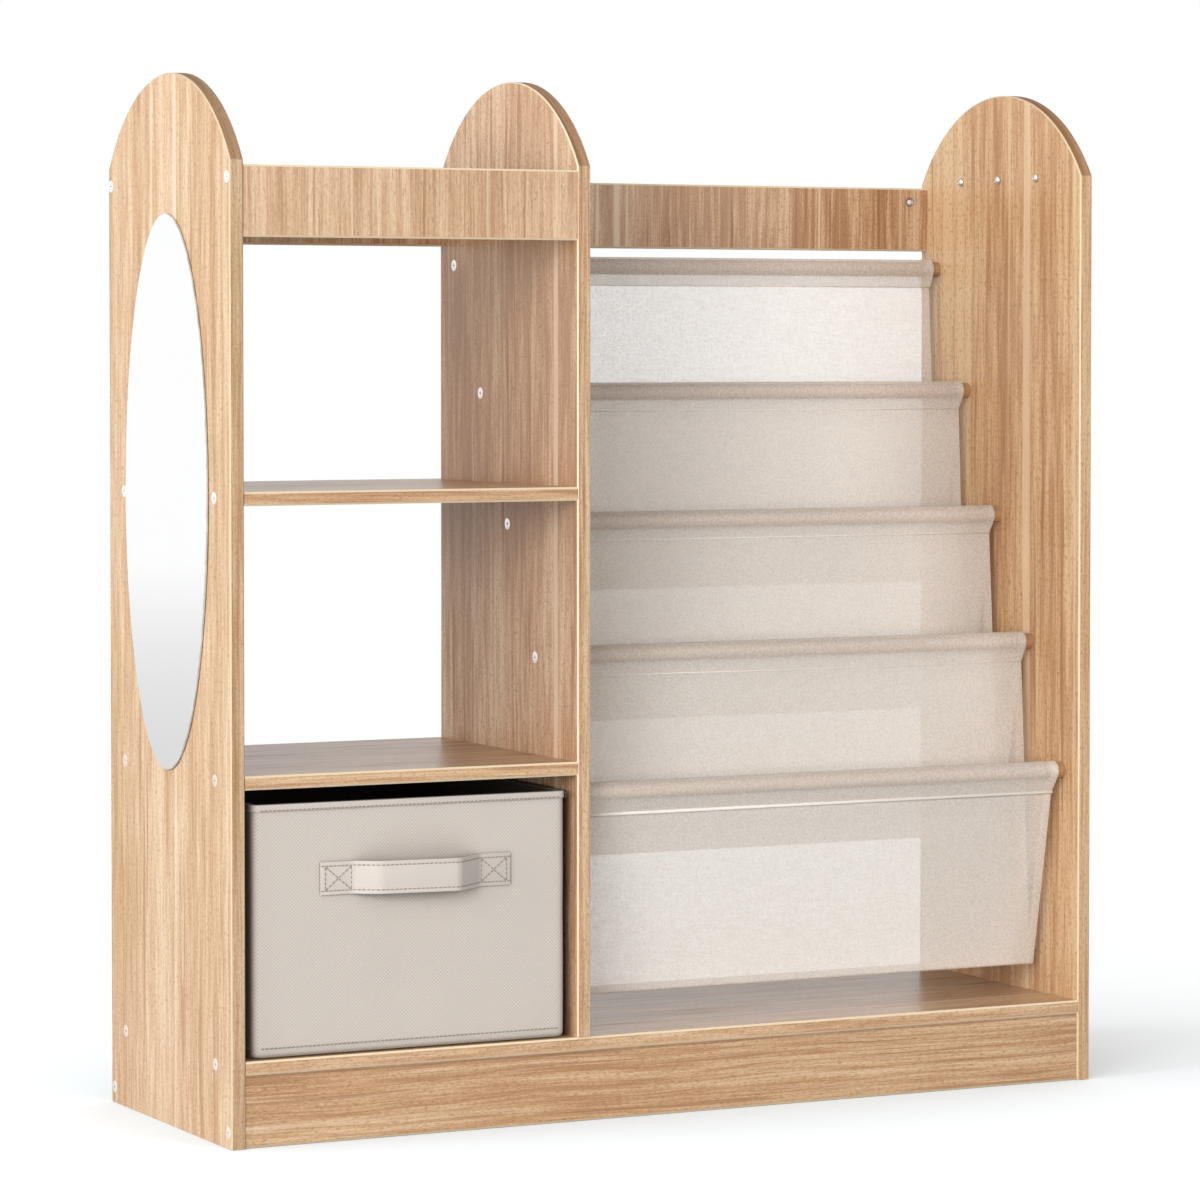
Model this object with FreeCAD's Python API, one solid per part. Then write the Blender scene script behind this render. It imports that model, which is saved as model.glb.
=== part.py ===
import FreeCAD, Part
import math
import os

# A toy storage organizer for a child's room. Three arched uprights carry two open cubbies over a pull-out
# cloth bin on the left, and a stepped cloth sling with four book pockets on the right.
# Lengths are millimetres. While a piece is made, x runs to the right from the left outer face, y to the
# back from the front edges and z up from the floor. Finished pieces are moved so that the origin lies on
# the floor under the middle of the whole box.

# Carcass boards
carcass_width = 889.0
carcass_depth = 300.0
crown_height = 953.0
arch_rise = 83.0
panel_thickness = 13.5
board_thickness = 12.5
left_bay_width = 325.5
plinth_height = 64.5
middle_shelf_top = 329.0
upper_shelf_top = 579.0
rail_height = 63.5
rail_drop = 4.0
edge_chamfer = 1.7
plinth_setback = 2.0

# Screws with flat countersunk heads, all of one size
screw_length = 40.0
screw_shank_radius = 2.2
screw_head_radius = 5.0
screw_head_depth = 2.8
shelf_screw_inset = 38.0
rail_screw_drop = 11.0
plinth_screw_height = 14.5
drill_clearance = 0.1
cut_overrun = 1.0
fastener_sides = 12

# Wooden dowels beside the single screw at each end of a rail or plinth
dowel_radius = 3.0
dowel_length = 20.0
dowel_inset = 13.0
dowel_sink_share = 0.4

# Cam fittings at the ends of the right rear rail
cam_radius = 5.0
cam_inset = 21.0
cam_drop = 14.0
cam_depth_share = 0.7
cam_proud = 0.6
cam_bolt_radius = 2.5

# Turned coat pegs outside the right upright, each held by a pan-head screw from inside
peg_count = 3
peg_spacing = 70.5
peg_reach = 34.0
peg_head_radius = 13.5
peg_sides = 24
peg_reach_shares = (0, 0.09, 0.2, 0.38, 0.55, 0.7, 0.8, 0.88, 0.96, 1)
peg_radius_shares = (0.85, 0.85, 0.66, 0.56, 0.63, 0.86, 1, 1, 0.84, 0.48)
peg_screw_length = 30.0
pan_head_radius = 3.8
pan_head_height = 2.6
pan_head_top_share = 0.55

# Oval mirror stuck to the left upright with two strips of foam tape
mirror_width = 201.0
mirror_height = 503.0
mirror_thickness = 2.2
mirror_centre_height = 575.0
tape_thickness = 0.8
tape_strip_height = 25.0
tape_width_share = 0.5
tape_place_share = 0.55

# Rods and the cloth sling that hangs over them
rod_count = 5
rod_radius = 7.5
rod_rear_inset = 31.5
rod_front_inset = 29.7
top_rod_drop = 18.5
bottom_rod_rise = 220.0
sling_cloth = 1.2
sling_edge_gap = 7.0
sleeve_ease = 0.4
seam_drop = 20.0
fold_radius = 2.5
fold_rise = 31.0
fold_place_share = 0.66

# Cloth bin: an outer cloth and a lining with stiff boards between them
bin_setback = 6.0
bin_rear_gap = 9.0
bin_side_gap = 9.25
bin_top_gap = 14.0
bin_floor_gap = 0.3
bin_cloth = 1.2
bin_wall_board = 2.5
bin_lining_cloth = 0.8
bin_base_thickness = 3.0
bin_mouth_radius = 1.5
bin_layer_gap = 0.2
bin_rim_height = 9.0
bin_rim_cloth = 0.8

# Strap handle sewn to the front of the bin
strap_length = 186.0
strap_width = 29.5
strap_thickness = 2.0
strap_patch_length = 31.0
strap_flat_length = 80.0
strap_finger_gap = 13.0
strap_offset = 4.0
strap_drop = 68.0

# Places that follow from the sizes above
spring_height = crown_height - arch_rise
rail_top = spring_height - rail_drop
rail_bottom = rail_top - rail_height
bottom_board_top = plinth_height + board_thickness
divider_left = panel_thickness + left_bay_width
divider_right = divider_left + panel_thickness
right_inner = carcass_width - panel_thickness
inner_width = right_inner - panel_thickness
right_bay_width = right_inner - divider_right
half_board = board_thickness / 2
front_centre = half_board
rear_centre = carcass_depth - half_board
rail_rear_front = carcass_depth - board_thickness
dowel_sink = dowel_sink_share * panel_thickness
mirror_reach = tape_thickness + mirror_thickness
handle_front = bin_setback - strap_finger_gap - strap_thickness
origin_x = (carcass_width + peg_reach - mirror_reach) / 2
origin_y = (carcass_depth + handle_front) / 2

along_x = FreeCAD.Vector(1, 0, 0)
against_x = FreeCAD.Vector(-1, 0, 0)
along_y = FreeCAD.Vector(0, 1, 0)
up = FreeCAD.Vector(0, 0, 1)


def point(x, y, z):
    return FreeCAD.Vector(x, y, z)


def block(x, y, z, width, depth, height):
    return Part.makeBox(width, depth, height, point(x, y, z))


def prism(outline, direction):
    return Part.Face(Part.Wire(Part.__sortEdges__(outline))).extrude(direction)


def line(start, end):
    return Part.LineSegment(start, end).toShape()


def arc(start, middle, end):
    return Part.Arc(start, middle, end).toShape()


def placed(shape, seat, direction):
    shape.Placement = FreeCAD.Placement(seat, FreeCAD.Rotation(up, direction))
    return shape


def bar(radius, length, seat, direction):
    return Part.makeCylinder(radius, length, seat, direction)


def flat_sided(outline, seat, direction, sides=fastener_sides):
    # A turned form with a few flat sides, from (distance along the axis, radius) pairs
    step = 2 * math.pi / sides
    spokes = [point(math.cos(step * side), math.sin(step * side), 0) for side in range(sides)]
    rings = [[spoke * radius + up * along for spoke in spokes] for along, radius in outline]
    loops = [rings[0][::-1], rings[-1]]
    for low, high in zip(rings[:-1], rings[1:]):
        for side in range(sides):
            loops.append([low[side - 1], low[side], high[side], high[side - 1]])
    faces = [Part.Face(Part.makePolygon(loop + loop[:1])) for loop in loops]
    return placed(Part.Solid(Part.Shell(faces)), seat, direction)


def pin(radius, length, seat, direction):
    return flat_sided([(0, radius), (length, radius)], seat, direction)


# Drilling and fasteners

def screw(seat, direction):
    outline = [
        (0, screw_head_radius),
        (screw_head_depth, screw_shank_radius),
        (screw_length, screw_shank_radius),
    ]
    return flat_sided(outline, seat, direction)


def screw_hole(seat, direction):
    head_radius = screw_head_radius + drill_clearance
    shank_radius = screw_shank_radius + drill_clearance
    outline = [
        (-cut_overrun, head_radius),
        (0, head_radius),
        (screw_head_depth, shank_radius),
        (screw_length + drill_clearance, shank_radius),
    ]
    return flat_sided(outline, seat, direction)


def screws(seats):
    return Part.makeCompound([screw(seat, direction) for seat, direction in seats])


def screw_holes(seats):
    return [screw_hole(seat, direction) for seat, direction in seats]


def shelf_depths():
    return [shelf_screw_inset, carcass_depth - shelf_screw_inset]


def shelf_heights():
    return [top - half_board for top in (middle_shelf_top, upper_shelf_top)]


def bottom_board_seats(x, direction):
    height = bottom_board_top - half_board
    return [(point(x, depth, height), direction) for depth in shelf_depths()]


def plinth_fronts():
    return [plinth_setback, carcass_depth - plinth_setback - board_thickness]


def plinth_seats(x, direction):
    return [(point(x, front + half_board, plinth_screw_height), direction) for front in plinth_fronts()]


def shelf_seats(x, direction):
    seats = []
    for height in shelf_heights():
        seats += [(point(x, depth, height), direction) for depth in shelf_depths()]
    return seats


def rail_seats(x, height, direction):
    return [(point(x, depth, height), direction) for depth in (front_centre, rear_centre)]


def left_panel_seats():
    seats = bottom_board_seats(0, along_x) + plinth_seats(0, along_x) + shelf_seats(0, along_x)
    return seats + rail_seats(0, rail_top - rail_screw_drop, along_x)


def right_panel_seats():
    return bottom_board_seats(carcass_width, against_x) + plinth_seats(carcass_width, against_x)


def divider_seats():
    middle = rail_bottom + rail_height / 2
    return shelf_seats(divider_right, against_x) + rail_seats(divider_right, middle, against_x)


def divider_foot_seats():
    x = divider_left + panel_thickness / 2
    return [(point(x, depth, plinth_height), up) for depth in shelf_depths()]


def rod_seats(x, direction):
    return [(point(x, depth, height), direction) for depth, height in rod_places()]


# Each dowel stands at a board's end: a point on the joint face and the way into the board
def rail_dowel_seats():
    height = rail_bottom + dowel_inset
    seats = []
    for depth in (front_centre, rear_centre):
        seats.append((point(panel_thickness, depth, height), along_x))
        seats.append((point(divider_left, depth, height), against_x))
    seats.append((point(divider_right, rear_centre, height), along_x))
    seats.append((point(right_inner, rear_centre, height), against_x))
    return seats


def plinth_dowel_seats():
    height = plinth_height - dowel_inset
    seats = []
    for front in plinth_fronts():
        seats.append((point(panel_thickness, front + half_board, height), along_x))
        seats.append((point(right_inner, front + half_board, height), against_x))
    return seats


def dowel(seat, direction):
    return pin(dowel_radius, dowel_length, seat - direction * dowel_sink, direction)


def dowel_hole(seat, direction):
    start = seat - direction * (dowel_sink + drill_clearance)
    return pin(dowel_radius + drill_clearance, dowel_length + drill_clearance * 2, start, direction)


def dowels(seats):
    return Part.makeCompound([dowel(seat, direction) for seat, direction in seats])


def dowel_holes(seats):
    return [dowel_hole(seat, direction) for seat, direction in seats]


# Cam fittings: a disc let into the rail's front face and a bolt from the upright to it

def cam_ends():
    return [(divider_right, along_x), (right_inner, against_x)]


def cam_axis_point(face_x, direction):
    return point(face_x, rail_rear_front, rail_top - cam_drop) + direction * cam_inset


def cam(face_x, direction):
    start = cam_axis_point(face_x, direction) - along_y * cam_proud
    return bar(cam_radius, cam_proud + cam_depth_share * board_thickness, start, along_y)


def cam_hole(face_x, direction):
    depth = cam_depth_share * board_thickness + drill_clearance
    start = cam_axis_point(face_x, direction) - along_y * cut_overrun
    return bar(cam_radius + drill_clearance, cut_overrun + depth, start, along_y)


def cam_bolt(face_x, direction):
    length = dowel_sink + cam_inset - cam_radius - drill_clearance
    start = point(face_x, rear_centre, rail_top - cam_drop) - direction * dowel_sink
    return pin(cam_bolt_radius, length, start, direction)


def cam_bolt_hole(face_x, direction):
    length = dowel_sink + drill_clearance + cam_inset
    start = point(face_x, rear_centre, rail_top - cam_drop) - direction * (dowel_sink + drill_clearance)
    return pin(cam_bolt_radius + drill_clearance, length, start, direction)


# Boards

def eased(board, highest=crown_height):
    # The long edges, below the given height, of a board that runs along x
    edges = [edge for edge in board.Edges if edge.BoundBox.XLength > edge.Length / 2]
    return board.makeChamfer(edge_chamfer, [edge for edge in edges if edge.BoundBox.ZMax < highest])


def upright(x, foot):
    front_foot = point(x, 0, foot)
    rear_foot = point(x, carcass_depth, foot)
    rear_spring = point(x, carcass_depth, spring_height)
    crown = point(x, carcass_depth / 2, crown_height)
    front_spring = point(x, 0, spring_height)
    outline = [
        line(front_foot, rear_foot),
        line(rear_foot, rear_spring),
        arc(rear_spring, crown, front_spring),
        line(front_spring, front_foot),
    ]
    board = prism(outline, along_x * panel_thickness)
    rims = [edge for edge in board.Edges if edge.BoundBox.XLength < edge_chamfer]
    return board.makeChamfer(edge_chamfer, rims)


def left_side_panel():
    board = upright(0, 0)
    holes = screw_holes(left_panel_seats()) + dowel_holes(rail_dowel_seats() + plinth_dowel_seats())
    return board.cut(holes)


def centre_divider():
    board = upright(divider_left, bottom_board_top)
    seats = rod_seats(divider_left, along_x) + divider_seats() + divider_foot_seats()
    bolt_holes = [cam_bolt_hole(face_x, direction) for face_x, direction in cam_ends()]
    return board.cut(screw_holes(seats) + dowel_holes(rail_dowel_seats()) + bolt_holes)


def right_side_panel():
    board = upright(right_inner, 0)
    seats = right_panel_seats() + rod_seats(carcass_width, against_x)
    bolt_holes = [cam_bolt_hole(face_x, direction) for face_x, direction in cam_ends()]
    holes = screw_holes(seats) + dowel_holes(rail_dowel_seats() + plinth_dowel_seats())
    return board.cut(holes + bolt_holes + [peg_screw_hole(seat) for seat in peg_seats()])


def bottom_board():
    board = eased(block(panel_thickness, 0, plinth_height, inner_width, carcass_depth, board_thickness))
    seats = bottom_board_seats(0, along_x) + bottom_board_seats(carcass_width, against_x)
    return board.cut(screw_holes(seats + divider_foot_seats()))


def shelf(top):
    board = block(panel_thickness, 0, top - board_thickness, left_bay_width, carcass_depth, board_thickness)
    seats = shelf_seats(0, along_x) + shelf_seats(divider_right, against_x)
    return eased(board).cut(screw_holes(seats))


def plinth(front):
    # Its upper edges stay sharp under the bottom board
    board = block(panel_thickness, front, 0, inner_width, board_thickness, plinth_height)
    seats = plinth_seats(0, along_x) + plinth_seats(carcass_width, against_x)
    return eased(board, plinth_height / 2).cut(screw_holes(seats) + dowel_holes(plinth_dowel_seats()))


def left_rail(front):
    board = block(panel_thickness, front, rail_bottom, left_bay_width, board_thickness, rail_height)
    seats = left_panel_seats() + divider_seats()
    return eased(board).cut(screw_holes(seats) + dowel_holes(rail_dowel_seats()))


def right_rail():
    board = block(divider_right, rail_rear_front, rail_bottom, right_bay_width, board_thickness, rail_height)
    holes = dowel_holes(rail_dowel_seats())
    for face_x, direction in cam_ends():
        holes += [cam_hole(face_x, direction), cam_bolt_hole(face_x, direction)]
    return eased(board).cut(holes)


# Coat pegs

def peg_seats():
    first = carcass_depth / 2 - peg_spacing * (peg_count - 1) / 2
    return [point(carcass_width, first + peg_spacing * number, spring_height) for number in range(peg_count)]


def peg_screw(seat):
    outline = [
        (-pan_head_height, pan_head_radius * pan_head_top_share),
        (0, pan_head_radius),
        (0, screw_shank_radius),
        (peg_screw_length, screw_shank_radius),
    ]
    return flat_sided(outline, seat - along_x * panel_thickness, along_x)


def peg_screw_hole(seat):
    radius = screw_shank_radius + drill_clearance
    return pin(radius, peg_screw_length + drill_clearance, seat - along_x * panel_thickness, along_x)


def coat_peg(seat):
    # A knob with a round foot, a drawn-in neck and a domed head
    outline = [
        (reach_share * peg_reach, radius_share * peg_head_radius)
        for reach_share, radius_share in zip(peg_reach_shares, peg_radius_shares)
    ]
    return flat_sided(outline, seat, along_x, peg_sides).cut(peg_screw_hole(seat))


# Mirror

def mirror():
    centre = point(-tape_thickness, carcass_depth / 2, mirror_centre_height)
    rim = Part.Ellipse(point(0, 0, 0), mirror_height / 2, mirror_width / 2)
    glass = Part.Face(Part.Wire(rim.toShape())).extrude(up * mirror_thickness)
    return placed(glass, centre, against_x)


def mirror_tape():
    width = tape_width_share * mirror_width
    offset = tape_place_share * mirror_height / 2
    strips = []
    for side in (-1, 1):
        low = mirror_centre_height + side * offset - tape_strip_height / 2
        y = (carcass_depth - width) / 2
        strips.append(block(-tape_thickness, y, low, tape_thickness, width, tape_strip_height))
    return Part.makeCompound(strips)


# Rods and sling

def rod_places():
    rear = carcass_depth - rod_rear_inset
    top = rail_bottom - top_rod_drop
    step_forward = (rear - rod_front_inset) / (rod_count - 1)
    step_down = (top - bottom_board_top - bottom_rod_rise) / (rod_count - 1)
    return [(rear - step_forward * number, top - step_down * number) for number in range(rod_count)]


def rod(number):
    depth, height = rod_places()[number]
    round_bar = bar(rod_radius, right_bay_width, point(divider_right, depth, height), along_x)
    return round_bar.cut(screw_holes(rod_seats(divider_left, along_x) + rod_seats(carcass_width, against_x)))


def fold_places():
    # The fold under each pocket, as far below its front rod as the lowest fold is
    places = rod_places()
    drop = bottom_rod_rise - fold_rise
    folds = []
    for (rear, _), (front, height) in zip(places[:-1], places[1:]):
        folds.append((front + fold_place_share * (rear - front), height - drop))
    return folds


def sling_point(place):
    return point(divider_right + sling_edge_gap, place[0], place[1])


def hang_direction(number):
    # The mean direction of the cloth that hangs from a rod
    start = sling_point(rod_places()[number])
    total = point(0, 0, 0)
    for fold in fold_places()[max(number - 1, 0):number + 1]:
        total += (sling_point(fold) - start).normalize()
    return total.normalize()


def seam_point(number):
    return sling_point(rod_places()[number]) + hang_direction(number) * (seam_drop + sling_cloth)


def drop_outline(centre, direction, radius, lean):
    # A loop over a rod that closes to a point below it
    across = along_x.cross(direction)
    side_out = across * (radius * math.cos(lean))
    side_down = direction * (radius * math.sin(lean))
    tip = centre + direction * (radius / math.sin(lean))
    left = centre + side_down - side_out
    right = centre + side_down + side_out
    return [arc(left, centre - direction * radius, right), line(right, tip), line(tip, left)]


def sleeve(number, cloth_width):
    centre = sling_point(rod_places()[number])
    direction = hang_direction(number)
    inner_radius = rod_radius + sleeve_ease
    lean = math.asin(inner_radius / seam_drop)
    outer = prism(drop_outline(centre, direction, inner_radius + sling_cloth, lean), along_x * cloth_width)
    inner = prism(drop_outline(centre, direction, inner_radius, lean), along_x * cloth_width)
    return outer.cut(inner)


def tangent_side(seam, fold, side):
    # The way from the fold's centre to where a straight cloth from the seam touches the fold
    reach = seam - fold
    turn = math.acos((fold_radius + sling_cloth / 2) / reach.Length)
    angle = math.atan2(reach.z, reach.y) + side * turn
    return point(0, math.cos(angle), math.sin(angle))


def pocket(number, cloth_width):
    fold = sling_point(fold_places()[number])
    rear_seam = seam_point(number)
    front_seam = seam_point(number + 1)
    rear_side = tangent_side(rear_seam, fold, -1)
    front_side = tangent_side(front_seam, fold, 1)
    bottom = (rear_side + front_side - up).normalize()
    half = sling_cloth / 2
    outline = []
    for radius, shift in ((fold_radius, -half), (fold_radius + sling_cloth, half)):
        rear_touch = fold + rear_side * radius
        front_touch = fold + front_side * radius
        outline.append(line(rear_seam + rear_side * shift, rear_touch))
        outline.append(arc(rear_touch, fold + bottom * radius, front_touch))
        outline.append(line(front_touch, front_seam + front_side * shift))
    outline.append(line(rear_seam - rear_side * half, rear_seam + rear_side * half))
    outline.append(line(front_seam - front_side * half, front_seam + front_side * half))
    return prism(outline, along_x * cloth_width)


def book_sling():
    cloth_width = right_bay_width - sling_edge_gap * 2
    sleeves = [sleeve(number, cloth_width) for number in range(rod_count)]
    pockets = [pocket(number, cloth_width) for number in range(rod_count - 1)]
    return sleeves[0].fuse(sleeves[1:] + pockets).removeSplitter()


# Cloth bin

bin_left = panel_thickness + bin_side_gap
bin_floor = bottom_board_top + bin_floor_gap
bin_width = left_bay_width - bin_side_gap * 2
bin_depth = carcass_depth - bin_setback - bin_rear_gap
bin_top = middle_shelf_top - board_thickness - bin_top_gap
bin_wall = bin_cloth + bin_wall_board + bin_lining_cloth + bin_layer_gap * 2
bin_mouth_inset = bin_wall + bin_layer_gap + bin_rim_cloth
bin_corner_radius = bin_mouth_radius + bin_mouth_inset
bin_wall_top = bin_top - bin_rim_cloth - bin_layer_gap
bin_lining_floor = bin_floor + bin_cloth + bin_layer_gap
bin_inner_floor = bin_lining_floor + bin_lining_cloth


def bin_block(inset, low, high):
    # A box with round corners, inset from the bin's outer face on every side
    width = bin_width - inset * 2
    depth = bin_depth - inset * 2
    box = block(bin_left + inset, bin_setback + inset, low, width, depth, high - low)
    corners = [edge for edge in box.Edges if edge.BoundBox.ZLength > edge.Length / 2]
    return box.makeFillet(bin_corner_radius - inset, corners)


def bin_outer_cloth():
    inside = bin_block(bin_cloth, bin_floor + bin_cloth, bin_wall_top + cut_overrun)
    return bin_block(0, bin_floor, bin_wall_top).cut(inside)


def bin_lining():
    inset = bin_wall - bin_lining_cloth
    inside = bin_block(bin_wall, bin_inner_floor, bin_wall_top + cut_overrun)
    return bin_block(inset, bin_lining_floor, bin_wall_top).cut(inside)


def bin_board_height():
    return bin_wall_top - bin_lining_floor


def bin_cross_board(front):
    width = bin_width - bin_corner_radius * 2
    x = bin_left + bin_corner_radius
    return block(x, front, bin_lining_floor, width, bin_wall_board, bin_board_height())


def bin_side_board(left):
    depth = bin_depth - bin_corner_radius * 2
    y = bin_setback + bin_corner_radius
    return block(left, y, bin_lining_floor, bin_wall_board, depth, bin_board_height())


def bin_base_board():
    inset = bin_wall + bin_layer_gap
    low = bin_inner_floor + bin_layer_gap
    return bin_block(inset, low, low + bin_base_thickness)


def bin_rim_binding():
    low = bin_top - bin_rim_height
    outside = bin_block(-bin_rim_cloth - bin_layer_gap, low, bin_top)
    mouth = bin_block(bin_mouth_inset, low - cut_overrun, bin_top + cut_overrun)
    wall_outer = bin_block(-bin_layer_gap, low - cut_overrun, bin_top - bin_rim_cloth)
    wall_inner = bin_block(bin_wall + bin_layer_gap, low - cut_overrun, bin_top + cut_overrun)
    return outside.cut(mouth).cut(wall_outer.cut(wall_inner))


def bin_handle():
    middle = bin_left + bin_width / 2 + strap_offset
    half = strap_length / 2
    inner = half - strap_patch_length
    flat = strap_flat_length / 2
    face = bin_setback
    low = bin_top - strap_drop - strap_width / 2
    stand = strap_finger_gap
    path = [(-half, 0), (-inner, 0), (-flat, stand), (flat, stand), (inner, 0), (half, 0)]
    corners = [point(middle + x, face - away, low) for x, away in path]
    corners += [corner - along_y * strap_thickness for corner in reversed(corners)]
    return Part.Face(Part.makePolygon(corners + corners[:1])).extrude(up * strap_width)


# Every piece, under the name that its file takes

def pieces():
    rail_cams = [cam(face_x, direction) for face_x, direction in cam_ends()]
    rail_bolts = [cam_bolt(face_x, direction) for face_x, direction in cam_ends()]
    named = {
        "left_side_panel": left_side_panel(),
        "centre_divider": centre_divider(),
        "right_side_panel": right_side_panel(),
        "bottom_board": bottom_board(),
        "middle_shelf": shelf(middle_shelf_top),
        "upper_shelf": shelf(upper_shelf_top),
        "front_plinth": plinth(plinth_fronts()[0]),
        "rear_plinth": plinth(plinth_fronts()[1]),
        "left_front_rail": left_rail(0),
        "left_rear_rail": left_rail(rail_rear_front),
        "right_rear_rail": right_rail(),
        "left_panel_screws": screws(left_panel_seats()),
        "right_panel_screws": screws(right_panel_seats()),
        "divider_screws": screws(divider_seats()),
        "divider_foot_screws": screws(divider_foot_seats()),
        "left_rod_screws": screws(rod_seats(divider_left, along_x)),
        "right_rod_screws": screws(rod_seats(carcass_width, against_x)),
        "rail_dowels": dowels(rail_dowel_seats()),
        "plinth_dowels": dowels(plinth_dowel_seats()),
        "rail_cams": Part.makeCompound(rail_cams),
        "rail_cam_bolts": Part.makeCompound(rail_bolts),
        "coat_pegs": Part.makeCompound([coat_peg(seat) for seat in peg_seats()]),
        "coat_peg_screws": Part.makeCompound([peg_screw(seat) for seat in peg_seats()]),
        "mirror": mirror(),
        "mirror_tape": mirror_tape(),
        "book_sling": book_sling(),
        "bin_outer_cloth": bin_outer_cloth(),
        "bin_lining": bin_lining(),
        "bin_front_board": bin_cross_board(bin_setback + bin_cloth + bin_layer_gap),
        "bin_back_board": bin_cross_board(
            bin_setback + bin_depth - bin_cloth - bin_layer_gap - bin_wall_board
        ),
        "bin_left_board": bin_side_board(bin_left + bin_cloth + bin_layer_gap),
        "bin_right_board": bin_side_board(
            bin_left + bin_width - bin_cloth - bin_layer_gap - bin_wall_board
        ),
        "bin_base_board": bin_base_board(),
        "bin_rim_binding": bin_rim_binding(),
        "bin_handle": bin_handle(),
    }
    for number in range(rod_count):
        named["sling_rod_%d" % (number + 1)] = rod(number)
    return named


os.makedirs("parts", exist_ok=True)
for name, shape in pieces().items():
    shape.translate(point(-origin_x, -origin_y, 0))
    shape.exportStep("parts/%s.step" % name)
    print(name, len(shape.Solids), shape.isValid(), round(shape.Volume))
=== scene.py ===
import bpy
import math
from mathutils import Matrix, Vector, noise


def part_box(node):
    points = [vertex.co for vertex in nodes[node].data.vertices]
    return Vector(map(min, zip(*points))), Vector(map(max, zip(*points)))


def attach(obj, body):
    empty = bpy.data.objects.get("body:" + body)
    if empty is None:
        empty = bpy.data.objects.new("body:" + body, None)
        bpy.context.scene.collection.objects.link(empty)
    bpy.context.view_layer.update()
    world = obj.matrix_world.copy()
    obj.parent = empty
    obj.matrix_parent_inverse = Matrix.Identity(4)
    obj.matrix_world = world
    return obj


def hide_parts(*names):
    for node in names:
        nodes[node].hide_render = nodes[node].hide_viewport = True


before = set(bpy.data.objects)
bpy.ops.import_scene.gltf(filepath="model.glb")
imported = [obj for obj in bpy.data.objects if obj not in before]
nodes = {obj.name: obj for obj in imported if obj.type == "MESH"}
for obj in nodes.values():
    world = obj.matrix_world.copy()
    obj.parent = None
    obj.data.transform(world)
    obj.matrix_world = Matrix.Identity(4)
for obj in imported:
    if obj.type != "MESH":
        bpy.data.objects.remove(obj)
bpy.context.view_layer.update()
mm = 0.001
tiny = 0.2 * mm  # closer than this is the same place
axisX, axisY, axisZ = 0, 1, 2
quarterTurn = math.pi / 2
rodNodes = ["sling_rod_%d" % number for number in range(1, 6)]
print("frame loaded:", len(nodes), "nodes")


# Selecting and shaping, as by hand

def clearSelection():
    if bpy.context.object and bpy.context.object.mode != "OBJECT":
        bpy.ops.object.mode_set(mode="OBJECT")
    bpy.ops.object.select_all(action="DESELECT")


def makeActive(piece):
    clearSelection()
    piece.select_set(True)
    bpy.context.view_layer.objects.active = piece


def named(name):  # the primitive that was just added
    piece = bpy.context.object
    piece.name = name
    piece.data.name = name
    return piece


def editNothing(piece, kind):  # edit mode with nothing picked
    makeActive(piece)
    bpy.ops.object.mode_set(mode="EDIT")
    bpy.ops.mesh.select_mode(type=kind)
    bpy.ops.mesh.select_all(action="DESELECT")


def leaveEdit():
    bpy.ops.object.mode_set(mode="OBJECT")


def pickFaces(piece, test):
    editNothing(piece, "FACE")
    leaveEdit()
    for face in piece.data.polygons:
        face.select = test(face)
    bpy.ops.object.mode_set(mode="EDIT")


def pickAll(piece):
    pickFaces(piece, lambda face: True)


def pickEdges(piece, test):
    editNothing(piece, "EDGE")
    leaveEdit()
    points = piece.data.vertices
    for edge in piece.data.edges:
        edge.select = test(points[edge.vertices[0]].co, points[edge.vertices[1]].co)
    bpy.ops.object.mode_set(mode="EDIT")


def facing(axis, sign):  # a test for faces that look along an axis
    return lambda face: face.normal[axis] * sign > 0.9


def goesUp(a, b):  # a test for upright edges
    return abs(a.z - b.z) > tiny


def bevelEdges(piece, test, offset, segments):
    pickEdges(piece, test)
    bpy.ops.mesh.bevel(offset=offset, segments=segments, affect="EDGES")
    leaveEdit()


def deleteFaces(piece, test):
    pickFaces(piece, test)
    bpy.ops.mesh.delete(type="FACE")
    leaveEdit()


def cutThrough(piece, place, normal, **settings):
    pickAll(piece)
    bpy.ops.mesh.bisect(plane_co=place, plane_no=normal, **settings)
    leaveEdit()


def drawOut(x, y, z):  # extrudes what is picked
    bpy.ops.mesh.extrude_region_move(TRANSFORM_OT_translate={"value": (x, y, z)})


def scaleAcross(scale, centre=(0, 0, 0)):  # about a line along x
    bpy.ops.transform.resize(value=(1, scale, scale), center_override=centre)


def applyPlace(piece):
    makeActive(piece)
    bpy.ops.object.transform_apply(location=True, rotation=True, scale=True)


def applyModifier(piece, kind, **settings):
    makeActive(piece)
    modifier = piece.modifiers.new(kind, kind)
    for key, value in settings.items():
        setattr(modifier, key, value)
    bpy.ops.object.modifier_apply(modifier=modifier.name)


def roundEdges(piece, width, segments, angle):
    applyModifier(piece, "BEVEL", width=width, segments=segments, limit_method="ANGLE", angle_limit=angle)


def smoothByAngle(piece, degrees):
    makeActive(piece)
    bpy.ops.object.shade_smooth_by_angle(angle=math.radians(degrees))


def mergeAndTurnOut(piece):
    editNothing(piece, "FACE")
    bpy.ops.mesh.select_all(action="SELECT")
    bpy.ops.mesh.remove_doubles(threshold=0.01 * mm)
    bpy.ops.mesh.normals_make_consistent(inside=False)
    leaveEdit()


def joined(pieces, name):
    clearSelection()
    for piece in pieces:
        piece.select_set(True)
    bpy.context.view_layer.objects.active = pieces[0]
    if len(pieces) > 1:
        bpy.ops.object.join()
    return named(name)


def addBlock(name, low, high):
    clearSelection()
    bpy.ops.mesh.primitive_cube_add(size=1, location=(low + high) / 2)
    piece = named(name)
    piece.scale = high - low
    applyPlace(piece)
    return piece


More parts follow.
